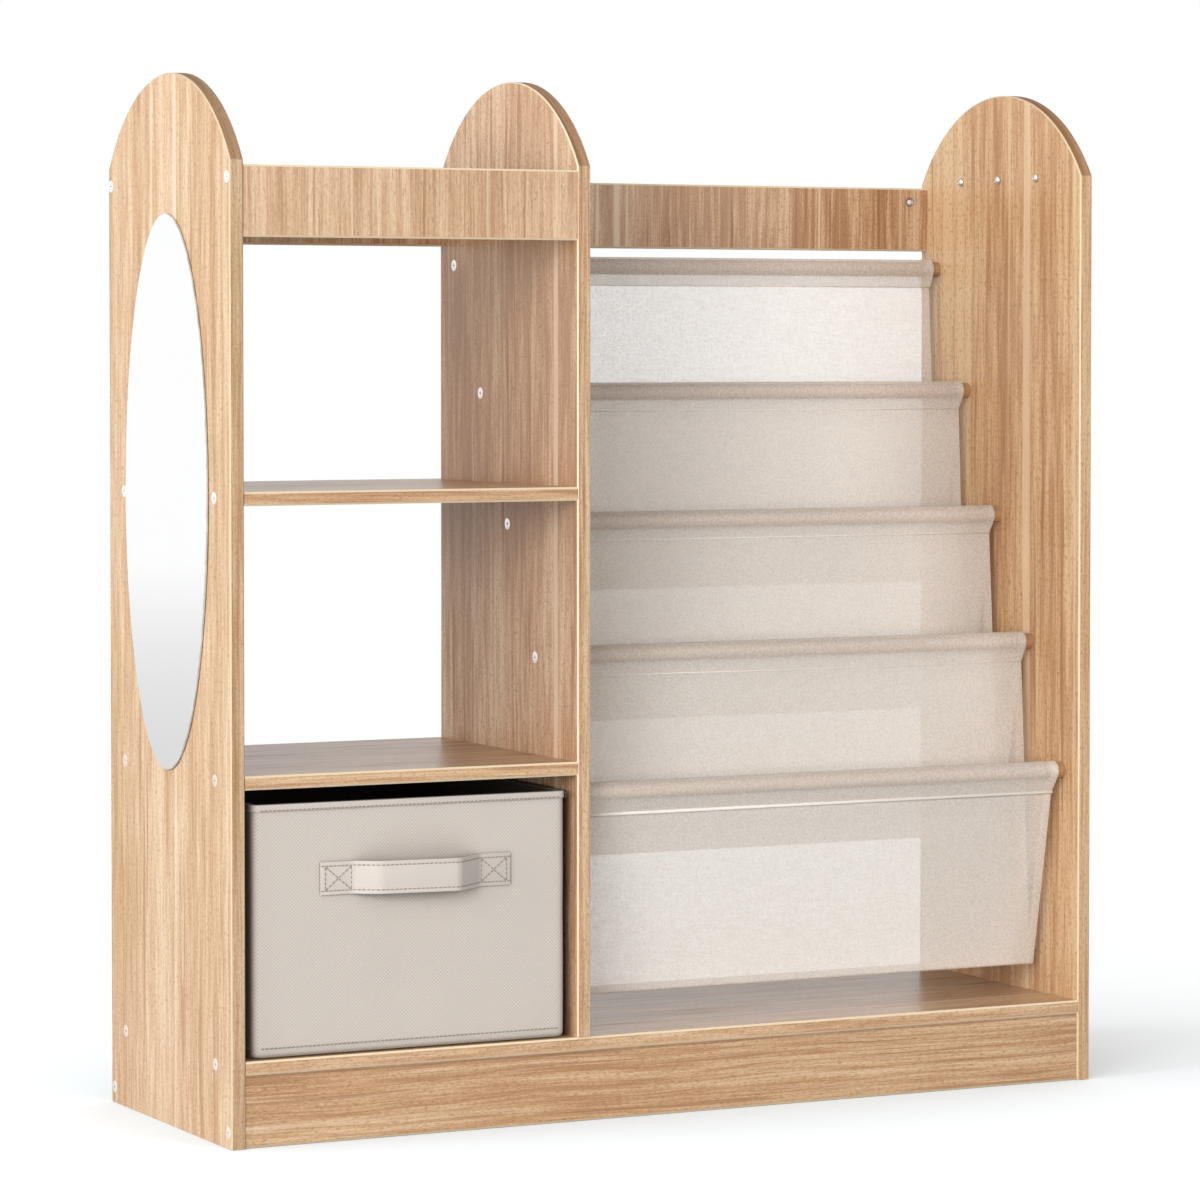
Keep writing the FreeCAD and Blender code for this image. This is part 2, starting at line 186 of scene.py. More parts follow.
def addRound(name, sides, radius, length, middle):  # a cylinder along x
    clearSelection()
    bpy.ops.mesh.primitive_cylinder_add(
        vertices=sides, radius=radius, depth=length, location=middle, rotation=(0, quarterTurn, 0),
    )
    piece = named(name)
    applyPlace(piece)
    return piece


def ownCopy(piece):  # a copy with a mesh of its own
    copy = piece.copy()
    copy.data = piece.data.copy()
    bpy.context.scene.collection.objects.link(copy)
    return copy


def copyTo(piece, place, turn):
    copy = ownCopy(piece)
    copy.location = place
    copy.rotation_euler = turn
    applyPlace(copy)
    return copy


def looseBoxes(node):  # the corners of each separate solid of a node
    clearSelection()
    mergeAndTurnOut(ownCopy(nodes[node]))
    bpy.ops.mesh.separate(type="LOOSE")
    boxes = []
    for part in list(bpy.context.selected_objects):
        points = [vertex.co for vertex in part.data.vertices]
        low = Vector(min(p[axis] for p in points) for axis in range(3))
        high = Vector(max(p[axis] for p in points) for axis in range(3))
        boxes.append((low, high))
        bpy.data.objects.remove(part)
    return sorted(boxes, key=lambda box: tuple(box[0]))


def handOver(piece, body, slot, *replaced):
    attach(piece, body)
    if replaced:
        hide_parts(*replaced)
    return piece


def paint(piece, *materials):
    piece.data.materials.clear()
    for material in materials:
        piece.data.materials.append(material)


# Building shaders

def colour(red, green, blue):  # screen values to the renderer's own
    def linear(value):
        share = value / 255
        return share / 12.92 if share <= 0.04045 else ((share + 0.055) / 1.055) ** 2.4
    return (linear(red), linear(green), linear(blue), 1)


def tinted(shade, tint):
    return (*(part * share for part, share in zip(shade, tint)), 1)


def plug(tree, socket, value):  # a link or a plain value
    if isinstance(value, bpy.types.NodeSocket):
        tree.links.new(value, socket)
    else:
        socket.default_value = value


def feed(tree, node, **sockets):
    for key, value in sockets.items():
        plug(tree, node.inputs[key.replace("_", " ")], value)


def put(tree, kind, settings=None, **sockets):
    node = tree.nodes.new("ShaderNode" + kind)
    for key, value in (settings or {}).items():
        setattr(node, key, value)
    feed(tree, node, **sockets)
    return node


def sums(tree, operation, *values):
    node = put(tree, "Math", {"operation": operation})
    for place, value in enumerate(values):
        plug(tree, node.inputs[place], value)
    return node.outputs[0]


def times(tree, first, second):
    return sums(tree, "MULTIPLY", first, second)


def timesPlus(tree, first, second, third):
    return sums(tree, "MULTIPLY_ADD", first, second, third)


def fromMiddle(tree, value):
    return sums(tree, "SUBTRACT", value, 0.5)


def blendColour(tree, share, first, second, how="MIX"):
    node = put(tree, "Mix", {"data_type": "RGBA", "blend_type": how})
    for place, value in ((0, share), (6, first), (7, second)):  # its colour sockets
        plug(tree, node.inputs[place], value)
    return node.outputs[2]


def ramp(tree, value, *stops):
    node = put(tree, "ValToRGB", Fac=value)
    elements = node.color_ramp.elements
    while len(elements) < len(stops):
        elements.new(0.5)
    for element, (place, shade) in zip(elements, stops):
        element.position = place
        element.color = shade
    return node.outputs["Color"]


def between(tree, value, low, high, outLow=0, outHigh=1):
    node = put(tree, "MapRange", {"interpolation_type": "SMOOTHSTEP"}, Value=value)
    feed(tree, node, From_Min=low, From_Max=high, To_Min=outLow, To_Max=outHigh)
    return node.outputs["Result"]


def speckle(tree, x, perX, y, perY, z, detail=2.0):
    place = put(tree, "CombineXYZ", X=times(tree, x, perX), Y=times(tree, y, perY), Z=z).outputs[0]
    return put(tree, "TexNoise", Vector=place, Scale=1.0, Detail=detail).outputs[0]


def bump(tree, height, strength, distance):
    return put(tree, "Bump", Height=height, Strength=strength, Distance=distance).outputs["Normal"]


def axesOf(tree, kind="Object"):
    return put(tree, "SeparateXYZ", Vector=put(tree, "TexCoord").outputs[kind]).outputs


def newGroup(name, inputs, outputs):
    tree = bpy.data.node_groups.new(name, "ShaderNodeTree")
    for way, names in (("INPUT", inputs), ("OUTPUT", outputs)):
        for socket in names:
            tree.interface.new_socket(name=socket, in_out=way, socket_type="NodeSocketFloat")
    source = tree.nodes.new("NodeGroupInput").outputs
    return tree, [source[socket] for socket in inputs]


def giveOut(tree, *values):
    sink = tree.nodes.new("NodeGroupOutput").inputs
    for place, value in enumerate(values):
        tree.links.new(value, sink[place])
    return tree


def useGroup(tree, group, **sockets):
    return put(tree, "Group", {"node_tree": group}, **sockets).outputs


def newMaterial(name, **constants):
    material = bpy.data.materials.new(name)
    material.use_nodes = True
    tree = material.node_tree
    shader = tree.nodes["Principled BSDF"]
    feed(tree, shader, **constants)
    return material, tree, shader


# Shared surface effects

grain = {
    "drifts": 9,  # slow bends of the grain, per metre
    "planks": 27,  # strips of one tone, per metre
    "streaks": {  # per metre across and along, place in the noise, detail, the part of its range that is kept
        "broad": (44, 1.2, 3.1, 1.0, 0.3, 0.7),
        "middle": (190, 3.2, 7.7, 2.0, 0.32, 0.68),
        "fibre": (620, 13, 2.2, 2.0, 0.34, 0.66),
        "clusters": (60, 1.1, 9.4, 1.0, 0.42, 0.62),
        "lines": (360, 4, 1.3, 3.0, 0.54, 0.66),
        "pores": (1100, 160, 5.9, 1.0, 0.56, 0.68),
        "glints": (120, 0.25, 11.3, 1.0, 0.64, 0.72),
    },
    "grit": (780, 360, 4.8, 1.0),
    "toneWeights": {"broad": 0.24, "middle": 0.36, "fibre": 0.36, "grit": 0.6},
    "loneLines": 0.2,  # strength of lines outside the clusters
}
threads = {"slubsAcross": 820, "slubsAlong": 75, "weft": 0.55, "warp": 0.45, "hazes": 9, "fuzzes": 900}


def makeGrainGroup():  # straight laminate grain: planks, streaks, fibres, lines and pores
    inputs = ("Across", "Along", "Seed", "Waver", "Wander", "Planks")
    tree, sockets = newGroup("laminateGrain", inputs, ("Tone", "Lines", "Pores", "Glints"))
    across, along, seed, waver, wander, planks = sockets
    drift = speckle(tree, across, grain["drifts"], along, wander, seed, 1.0)
    bent = timesPlus(tree, fromMiddle(tree, drift), waver, across)

    def streak(perMetre, stretch, offset, detail):
        return speckle(tree, bent, perMetre, along, stretch, sums(tree, "ADD", seed, offset), detail)

    plankPlace = timesPlus(tree, bent, grain["planks"], seed)
    plank = put(tree, "TexVoronoi", {"voronoi_dimensions": "1D"}, W=plankPlace, Scale=1.0).outputs["Color"]
    plankTone = put(tree, "SeparateXYZ", Vector=plank).outputs[0]
    layers = {"grit": streak(*grain["grit"])}
    for name, (*pattern, low, high) in grain["streaks"].items():
        layers[name] = between(tree, streak(*pattern), low, high)
    tone = timesPlus(tree, fromMiddle(tree, plankTone), planks, 0.5)
    for name, weight in grain["toneWeights"].items():
        tone = timesPlus(tree, fromMiddle(tree, layers[name]), weight, tone)
    sparse = timesPlus(tree, layers["clusters"], 1 - grain["loneLines"], grain["loneLines"])
    return giveOut(tree, tone, times(tree, layers["lines"], sparse), layers["pores"], layers["glints"])


def wovenHeight(tree, u, v, perMetre):  # over and under, from 0 to 1
    waves = [sums(tree, "SINE", times(tree, times(tree, value, perMetre), 2 * math.pi)) for value in (u, v)]
    return timesPlus(tree, times(tree, *waves), 0.5, 0.5)


def makeWeaveGroup():  # plain weave of uneven yarns
    tree, (u, v, yarns) = newGroup("plainWeave", ("U", "V", "Yarns"), ("Height", "Slub", "Haze"))
    fine, long, hazes = threads["slubsAcross"], threads["slubsAlong"], threads["hazes"]
    weft = speckle(tree, u, long, v, fine, 0.4)
    warp = speckle(tree, u, fine, v, long, 4.2)
    slub = timesPlus(tree, weft, threads["weft"], times(tree, warp, threads["warp"]))
    return giveOut(tree, wovenHeight(tree, u, v, yarns), slub, speckle(tree, u, hazes, v, hazes, 2.0))


def makeDotGroup():  # dot weave of coarse cloth
    tree, (u, v, dots) = newGroup("dotWeave", ("U", "V", "Dots"), ("Height", "Fuzz"))
    fuzz = speckle(tree, u, threads["fuzzes"], v, threads["fuzzes"], 1.0, 3.0)
    return giveOut(tree, wovenHeight(tree, u, v, dots), fuzz)


def makeMottleGroup():  # slow unevenness of any surface
    tree, (x, y, z, perMetre) = newGroup("mottle", ("X", "Y", "Z", "PerMetre"), ("Mottle",))
    return giveOut(tree, speckle(tree, x, perMetre, y, perMetre, times(tree, z, perMetre), 3.0))


grainGroup = makeGrainGroup()
weaveGroup = makeWeaveGroup()
dotGroup = makeDotGroup()
mottleGroup = makeMottleGroup()


def mottled(tree, perMetre):
    x, y, z = axesOf(tree)
    return useGroup(tree, mottleGroup, X=x, Y=y, Z=z, PerMetre=perMetre)[0]


print("surface effects ready")


# Wood

laminate = {
    "stops": (
        (0.08, colour(177, 133, 95)), (0.36, colour(195, 153, 114)), (0.62, colour(208, 170, 133)),
        (0.92, colour(221, 190, 154)),
    ),
    "Lines": (colour(156, 111, 77), 0.6),
    "Pores": (colour(150, 107, 75), 0.45),
    "Glints": (colour(232, 207, 175), 0.55),
    # end colour: partly the end grain's own colour, partly painted shade on the arches' top bands and the rails'
    # undersides
    "endAndShadeColour": colour(206, 192, 180), "endAndShadeShare": 0.8, "endSlope": (0.25, 0.5),
    "paleEdgeSlope": (0.04, 0.16),
    "paintedLipShadow": colour(112, 78, 52), "paintedLipShadowShare": 0.45, "paintedLipShadowWidth": 3 * mm, "paintedLipShadowFade": 0.9 * mm,
    "gloss": (0.3, 0.45), "bandGloss": 0.7,
    "lineDepth": 0.6, "poreDepth": 0.4, "relief": (0.25, 0.15 * mm),
}
turnedWood = {
    "sideways": 1.7, "waver": 0.003, "wander": 3.0, "planks": 0.2, "poreShare": 0.35, "gloss": (0.55, 0.42),
    "relief": (0.2, 0.1 * mm),
}


def laminateMaterial(name, look):
    along, across, thick = look["axes"]
    material, tree, shader = newMaterial(name + "_laminate", IOR=1.48, Specular_IOR_Level=look["shine"])
    axes = axesOf(tree)
    normal = put(tree, "NewGeometry").outputs["Normal"]
    turned = put(tree, "VectorMath", {"operation": "ABSOLUTE"}, Vector=normal).outputs[0]
    turned = put(tree, "SeparateXYZ", Vector=turned).outputs
    flatness = turned[thick]
    onFace = sums(tree, "GREATER_THAN", flatness, 0.5)
    wide = times(tree, axes[across], look["spread"])
    grown = useGroup(
        tree, grainGroup, Across=timesPlus(tree, wide, onFace, axes[thick]),
        Along=times(tree, axes[along], look["pace"]), Seed=look["seed"], Waver=look["waver"],
        Wander=look["wander"], Planks=look["planks"],
    )
    low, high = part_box(name)
    # painted light and shade: the tone is lifted, tilted and bowed across the board and stepped along it; the tint
    # does the same for colour
    aside = sums(tree, "SUBTRACT", axes[across], (low[across] + high[across]) / 2)
    level = timesPlus(tree, aside, look["bow"], look["lean"])
    level = timesPlus(tree, aside, level, 0.5 + look["lift"])
    for start, end, below, above in look["paintedLightSteps"]:
        level = timesPlus(tree, onFace, between(tree, axes[along], start, end, below, above), level)
    tone = timesPlus(tree, fromMiddle(tree, grown["Tone"]), look["force"], level)
    wood = ramp(tree, tone, *((spot, tinted(shade, look["tint"])) for spot, shade in laminate["stops"]))
    for layer in ("Lines", "Pores", "Glints"):
        shade, share = laminate[layer]
        share = times(tree, grown[layer], share * look["force"])
        wood = blendColour(tree, share, wood, tinted(shade, look["tint"]))
    # faces that look along the grain are multiplied darker: partly end grain, partly painted shade on up- and
    # down-facing bands
    endAndShadeMask = times(tree, between(tree, turned[along], *laminate["endSlope"]), laminate["endAndShadeShare"])
    wood = blendColour(tree, endAndShadeMask, wood, laminate["endAndShadeColour"], "MULTIPLY")
    slope = times(tree, flatness, sums(tree, "SUBTRACT", 1, flatness))
    # the chamfer is painted a paler colour: partly the pale edge banding, partly a painted highlight
    paleEdgeAndHighlight = between(tree, slope, *laminate["paleEdgeSlope"])  # the chamfer between face and band
    wood = blendColour(tree, paleEdgeAndHighlight, wood, look["edge"])
    if look["seam"]:  # painted shadow: a dark band along the plinth's top, under the board that overhangs it
        foot = high.z - laminate["paintedLipShadowWidth"]
        lipShadowMask = between(tree, axes[axisZ], foot, foot + laminate["paintedLipShadowFade"], 0, laminate["paintedLipShadowShare"])
        wood = blendColour(tree, lipShadowMask, wood, laminate["paintedLipShadow"])
    gloss = between(tree, grown["Lines"], 0, 1, *laminate["gloss"])
    onBand = sums(tree, "SUBTRACT", 1, onFace)
    gloss = sums(tree, "MAXIMUM", gloss, times(tree, onBand, laminate["bandGloss"]))
    relief = times(tree, grown["Pores"], -laminate["poreDepth"])
    relief = timesPlus(tree, grown["Lines"], -laminate["lineDepth"], relief)
    feed(tree, shader, Base_Color=wood, Roughness=gloss, Normal=bump(tree, relief, *laminate["relief"]))
    return material


def turnedWoodMaterial(name, seed, shade, streakShade):  # pieces turned along x
    material, tree, shader = newMaterial(name, IOR=1.46)
    x, y, z = axesOf(tree)
    grown = useGroup(
        tree, grainGroup, Across=timesPlus(tree, z, turnedWood["sideways"], y), Along=x, Seed=seed,
        Waver=turnedWood["waver"], Wander=turnedWood["wander"], Planks=turnedWood["planks"],
    )
    wood = blendColour(tree, grown["Tone"], streakShade, shade)
    wood = blendColour(tree, times(tree, grown["Pores"], turnedWood["poreShare"]), wood, laminate["Pores"][0])
    gloss = between(tree, grown["Tone"], 0, 1, *turnedWood["gloss"])
    relief = bump(tree, grown["Lines"], *turnedWood["relief"])
    feed(tree, shader, Base_Color=wood, Roughness=gloss, Normal=relief)
    return material


anyBoard = {  # axes: along the grain, across it, through the board
    "waver": 0.008, "wander": 3.0, "planks": 0.2,  # how far and how fast the grain bends, how its planks differ
    "pace": 1.0, "spread": 1.0, "force": 1.0,  # how short, how fine and how strong the streaks are
    # lift, lean, bow, the steps and tint: partly the boards' own tone, partly painted light and shade set per board
    "lift": 0.0, "lean": 0.0, "bow": 0.0,  # lighter all over, towards one side, towards both sides
    "paintedLightSteps": (),  # where along the grain the face turns lighter or darker, and from what to what
    # edge: that chamfer colour; on the uprights it is set per board to how brightly each board is lit
    "tint": (1, 1, 1), "shine": 0.5, "edge": colour(244, 223, 188), "seam": False,
}
uprightLook = {**anyBoard, "axes": (axisZ, axisY, axisX), "waver": 0.003, "wander": 2.6, "spread": 0.5}
shelfLook = {**anyBoard, "axes": (axisX, axisY, axisZ), "pace": 1.4, "spread": 0.45, "force": 1.1}
plinthLook = {
    **anyBoard, "axes": (axisX, axisZ, axisY), "waver": 0.01, "wander": 4.0, "planks": 0.15, "force": 1.15,
    # seam: the painted shadow under the bottom board's lip
    "lift": -0.04, "shine": 0.3, "seam": True,
}
railLook = {
    **anyBoard, "axes": (axisZ, axisX, axisY), "waver": 0.005, "wander": 6.0, "planks": 0.4, "shine": 0.3,
}
boardLooks = {
    "left_side_panel": {
        **uprightLook, "seed": 2.0, "pace": 1.3, "force": 0.9, "lift": 0.1, "bow": -8.0,
        "tint": (0.97, 1.04, 1.11), "shine": 0.15, "edge": colour(202, 182, 152),
    },
    "centre_divider": {
        # the divider's steps: painted light low down, painted shade in the upper bay, painted light again above the
        # rail
        **uprightLook, "seed": 9.4, "pace": 1.6, "force": 1.15, "lift": -0.04, "lean": -0.3,
        "paintedLightSteps": ((0.45, 0.57, 0.13, -0.22), (0.78, 0.86, 0.0, 0.36)),
        "tint": (0.97, 0.97, 0.99), "edge": colour(226, 206, 174),
    },
    # right panel: lift, lean, bow and tint are painted light and shade, lighter towards the back edge
    "right_side_panel": {
        **uprightLook, "seed": 5.2, "planks": 0.25, "pace": 1.1, "force": 1.15, "lift": -0.12, "lean": 1.9,
        "bow": 30.0, "tint": (0.95, 0.9, 0.81), "edge": colour(214, 190, 156),
    },
    "bottom_board": {**shelfLook, "seed": 13.7, "lift": -0.02},
    "middle_shelf": {**shelfLook, "seed": 21.1},
    "upper_shelf": {**shelfLook, "seed": 17.3},
    "front_plinth": {**plinthLook, "seed": 25.9},
    "rear_plinth": {**plinthLook, "seed": 28.8},
    "left_front_rail": {**railLook, "seed": 31.6, "lift": 0.02, "tint": (0.98, 0.975, 0.955)},
    "left_rear_rail": {**railLook, "seed": 36.4},
    # lean and bow: painted light towards the left end, which the divider's arch shadows
    "right_rear_rail": {
        **railLook, "seed": 40.3, "waver": 0.006, "wander": 4.0, "pace": 1.6, "force": 1.35, "lift": -0.2,
        "lean": -1.1, "bow": 6.6,
    },
}
boardMaterials = {name: laminateMaterial(name, look) for name, look in boardLooks.items()}
rodMaterial = turnedWoodMaterial("rod_wood", 3.3, colour(200, 159, 117), colour(172, 129, 91))
pegMaterial = turnedWoodMaterial("peg_wood", 6.1, colour(226, 186, 148), colour(198, 152, 112))
dowelMaterial = turnedWoodMaterial("dowel_wood", 8.5, colour(224, 196, 158), colour(202, 170, 130))
print("wood ready")


# Metal, mirror, foam, board and thread

anyMetal = {"perMetre": 900.0, "glossSpan": (0.25, 0.75), "glossSwing": (-0.06, 0.08), "relief": (0.08, 0.05 * mm)}
anySoft = {"metallic": 0.0, "glossSpan": (0.3, 0.7), "glossSwing": (-0.08, 0.0), "relief": (0.3, 0.2 * mm)}
zincShades = {"shade": colour(247, 244, 243), "dark": colour(232, 227, 227), "rough": 0.35, "metallic": 0.25}
finishLooks = {
    "bright_zinc": {**anyMetal, **zincShades},
    # painted shade: the heads low on the cabinet are darker and duller
    "zinc_shaded_low": {**anyMetal, **zincShades, "foot": colour(218, 208, 202), "footSpan": (0.36, 0.52)},
    "white_zinc": {
        **anyMetal, "shade": colour(253, 248, 245), "dark": colour(240, 233, 229), "rough": 0.22, "metallic": 0.95,
    },
    "nickel_steel": {
        **anyMetal, "shade": colour(222, 216, 209), "dark": colour(176, 168, 160), "rough": 0.25, "metallic": 0.9,
    },
    "cast_zinc": {
        **anyMetal, "shade": colour(172, 164, 158), "dark": colour(132, 124, 118), "rough": 0.38, "metallic": 0.8,
    },
    "mirror_edge": {
        **anySoft, "shade": colour(206, 206, 202), "dark": colour(182, 184, 182), "perMetre": 60.0, "rough": 0.3,
    },
    "foam_tape": {
        **anySoft, "shade": colour(236, 235, 230), "dark": colour(214, 212, 206), "perMetre": 1400.0, "rough": 0.95,
    },
    "grey_board": {
        **anySoft, "shade": colour(176, 160, 138), "dark": colour(150, 134, 112), "perMetre": 500.0, "rough": 0.92,
    },
    "thread": {
        **anySoft, "shade": colour(170, 158, 147), "dark": colour(145, 133, 123), "perMetre": 1500.0, "rough": 0.9,
    },
}
silver = {"film": colour(251, 252, 252), "clear": colour(255, 255, 255), "perMetre": 6.0, "gloss": (0.015, 0.04)}


def mottledMaterial(name, look):
    material, tree, shader = newMaterial(name, Metallic=look["metallic"])
    marks = mottled(tree, look["perMetre"])
    tone = blendColour(tree, between(tree, marks, 0.3, 0.7), look["dark"], look["shade"])
    # painted shade: below the span the heads take the darker colour
    if "foot" in look:  # heads low on the cabinet are duller
        tone = blendColour(tree, between(tree, axesOf(tree)[axisZ], *look["footSpan"]), look["foot"], tone)
    smoothest, roughest = (look["rough"] + swing for swing in look["glossSwing"])
    gloss = between(tree, marks, *look["glossSpan"], smoothest, roughest)
    feed(tree, shader, Base_Color=tone, Roughness=gloss, Normal=bump(tree, marks, *look["relief"]))
    return material


def mirrorMaterial():
    material, tree, shader = newMaterial("mirror_face", Metallic=1.0)
    film = mottled(tree, silver["perMetre"])
    tone = blendColour(tree, film, silver["film"], silver["clear"])
    feed(tree, shader, Base_Color=tone, Roughness=between(tree, film, 0.3, 0.7, *silver["gloss"]))
    return material


finishes = {name: mottledMaterial(name, look) for name, look in finishLooks.items()}
mirrorFace = mirrorMaterial()


# Cloth

slingCloth = {
    "shade": colour(252, 246, 239),
    "slubShade": colour(240, 232, 222),
    "slubSpan": (0.36, 0.64),
    "yarnsPerMetre": 900.0,
    "hazeShare": 0.12,
    "cover": 0.55,
    "coverSwing": 0.08,
    "fleckShade": colour(222, 212, 201),
    "fleckShare": 0.12,
    "fleckSwing": 0.075,
    "flecksPerMetre": 480.0,
    "relief": (0.35, 0.2 * mm),
}
coarseCloths = {  # sideways: how much the pattern runs on round a corner
    "bin_weave": {
        "shade": colour(217, 207, 198), "hollow": colour(197, 188, 179), "dots": 300.0, "sideways": 1.0,
        # occlusion reach and share: the painted shade behind the strap and at the foot
        "occlusionShadeReach": 45 * mm, "occlusionShadeShare": 0.75,
    },
    "strap_weave": {
        "shade": colour(217, 208, 200), "hollow": colour(198, 188, 180), "dots": 420.0, "sideways": 0.0,
    },
    "seam_weave": {
        "shade": colour(250, 246, 240), "hollow": colour(234, 226, 217), "dots": 500.0, "sideways": 0.0,
    },
    "lining_weave": {
        "shade": colour(80, 70, 60), "hollow": colour(58, 50, 43), "dots": 500.0, "sideways": 1.0,
    },
}
coarse = {"fuzzShare": 0.25, "wornShare": 0.12, "wornPerMetre": 14.0, "relief": (0.5, 0.35 * mm)}


def slingMaterial():
    material, tree, shader = newMaterial("sling_linen", Roughness=0.95, Specular_IOR_Level=0.15)
    u, v, _ = axesOf(tree, "UV")
    woven = useGroup(tree, weaveGroup, U=u, V=v, Yarns=slingCloth["yarnsPerMetre"])
    thin, thick = slingCloth["slubSpan"]
    tone = between(tree, woven["Slub"], thin, thick)
    tone = blendColour(tree, tone, slingCloth["slubShade"], slingCloth["shade"])
    haze = between(tree, woven["Haze"], 0.3, 0.75, 0, slingCloth["hazeShare"])
    tone = blendColour(tree, haze, tone, slingCloth["slubShade"])
    perMetre = slingCloth["flecksPerMetre"]
    fleck = speckle(tree, u, perMetre, v, perMetre, 7.3, 1.0)
    shown = between(tree, fleck, 0.3, 0.7, 0, slingCloth["fleckShare"])
    tone = blendColour(tree, shown, tone, slingCloth["fleckShade"])
    cover, half, swing = slingCloth["cover"], slingCloth["coverSwing"] / 2, slingCloth["fleckSwing"]
    cover = between(tree, woven["Slub"], thick, thin, cover - half, cover + half)
    cover = sums(tree, "ADD", cover, between(tree, fleck, 0.3, 0.7, -swing, swing))
    relief = bump(tree, woven["Height"], *slingCloth["relief"])
    feed(tree, shader, Base_Color=tone, Alpha=cover, Normal=relief)
    return material


def coarseClothMaterial(name, look):
    material, tree, shader = newMaterial(name, Roughness=0.96, Specular_IOR_Level=0.12)
    hollow = look["hollow"]
    x, y, z = axesOf(tree)
    woven = useGroup(tree, dotGroup, U=timesPlus(tree, y, look["sideways"], x), V=z, Dots=look["dots"])
    tone = blendColour(tree, between(tree, woven["Height"], 0.1, 0.75), hollow, look["shade"])
    fuzz = between(tree, woven["Fuzz"], 0.35, 0.75, 0, coarse["fuzzShare"])
    tone = blendColour(tree, fuzz, tone, hollow)
    worn = between(tree, mottled(tree, coarse["wornPerMetre"]), 0.35, 0.75, 0, coarse["wornShare"])
    tone = blendColour(tree, worn, tone, hollow)
    # painted shade: ambient occlusion darkens the cloth behind the strap and at the foot
    if "occlusionShadeReach" in look:  # softly darker behind the strap and at the foot
        occlusionShade = put(tree, "AmbientOcclusion", {"samples": 8}, Distance=look["occlusionShadeReach"]).outputs["Color"]
        tone = blendColour(tree, look["occlusionShadeShare"], tone, occlusionShade, "MULTIPLY")
    feed(tree, shader, Base_Color=tone, Normal=bump(tree, woven["Height"], *coarse["relief"]))
    return material


slingLinen = slingMaterial()
cloths = {name: coarseClothMaterial(name, look) for name, look in coarseCloths.items()}
print("metal and cloth ready")


# Uprights: a round board cut off at the spring of its arch and drawn down to its foot

arch = {"rise": 83 * mm, "sides": 288, "chamfer": 1.2 * mm}


def makeUpright(name, node):
    low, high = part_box(node)
    half = (high.y - low.y) / 2
    radius = (half ** 2 + arch["rise"] ** 2) / (2 * arch["rise"])
    spring = high.z - arch["rise"]
    middle = (low + high) / 2
    piece = addRound(name, arch["sides"], radius, high.x - low.x, (middle.x, middle.y, high.z - radius))
    cutThrough(piece, (0, 0, spring), (0, 0, 1), clear_inner=True, use_fill=True)
    pickFaces(piece, facing(axisZ, -1))
    drawOut(0, 0, low.z - spring)
    leaveEdit()
    mergeAndTurnOut(piece)

    def rim(a, b):  # all round the two faces, but for the foot and the line across at the spring
        onSide = abs(a.x - b.x) < tiny and min(abs(a.x - low.x), abs(a.x - high.x)) < tiny
        level = abs(a.z - b.z) < tiny and a.z < spring + tiny
        return onSide and not level

    bevelEdges(piece, rim, arch["chamfer"], 1)
    smoothByAngle(piece, 25)
    paint(piece, boardMaterials[node])
    handOver(piece, "cabinet", "oak_laminate", node)


makeUpright("left_upright", "left_side_panel")
makeUpright("middle_upright", "centre_divider")
makeUpright("right_upright", "right_side_panel")
print("uprights ready")


# Screws with a cross recess, modelled once with the shank from x = 0 towards +x and the head before it

screw = {
    "sides": 28, "shankRadius": 2.1 * mm, "edgeRound": 0.125 * mm,
    "headRadius": 5.5 * mm, "headDepth": 2.8 * mm, "proud": 0.15 * mm, "flatLength": 36 * mm,
    "panRadius": 4.3 * mm, "panHeight": 3.5 * mm, "panSeat": 2.6 * mm, "panLength": 29 * mm,
    "crown": ((0.55, 0.94), (0.45, 0.62)),  # how far each step draws the pan head out, and in
    "crossLength": 5.2 * mm, "panCrossLength": 4.42 * mm, "crossWidth": 1.1 * mm, "crossDepth": 0.6 * mm,
}


def cutCross(piece, faceX, length):
    bars = []
    for size in ((length, screw["crossWidth"]), (screw["crossWidth"], length)):
        half = Vector((screw["crossDepth"], size[0] / 2, size[1] / 2))
        centre = Vector((faceX, 0, 0))
        bars.append(addBlock("recess", centre - half, centre + half))
    applyModifier(bars[0], "BOOLEAN", object=bars[1], operation="UNION")
    applyModifier(piece, "BOOLEAN", object=bars[0], operation="DIFFERENCE")
    for bar in bars:
        bpy.data.objects.remove(bar)


def makeScrew(name, length, steps, crossLength):  # steps: how far the head is drawn out, and how it grows
    piece = addRound(name, screw["sides"], screw["shankRadius"], length, (length / 2, 0, 0))
    pickFaces(piece, facing(axisX, -1))
    for reach, scale in steps:
        drawOut(-reach, 0, 0)
        scaleAcross(scale)
    leaveEdit()
    mergeAndTurnOut(piece)
    roundEdges(piece, screw["edgeRound"], 2, 0.9)
    cutCross(piece, -sum(reach for reach, _ in steps), crossLength)
    smoothByAngle(piece, 30)
    return piece


def placeScrews(node, pattern, headEnd, finish):
    side, axis, turn, seatDepth = headEnd  # the end that the head is at, the shank's axis and turn, the head's seat
    copies = []
    for box in looseBoxes(node):
        place = (box[0] + box[1]) / 2
        place[axis] = box[side][axis] + seatDepth
        copies.append(copyTo(pattern, place, turn))
    piece = joined(copies, node + "_cross")
    paint(piece, finishes[finish])
    handOver(piece, "cabinet", "zinc_screw", node)


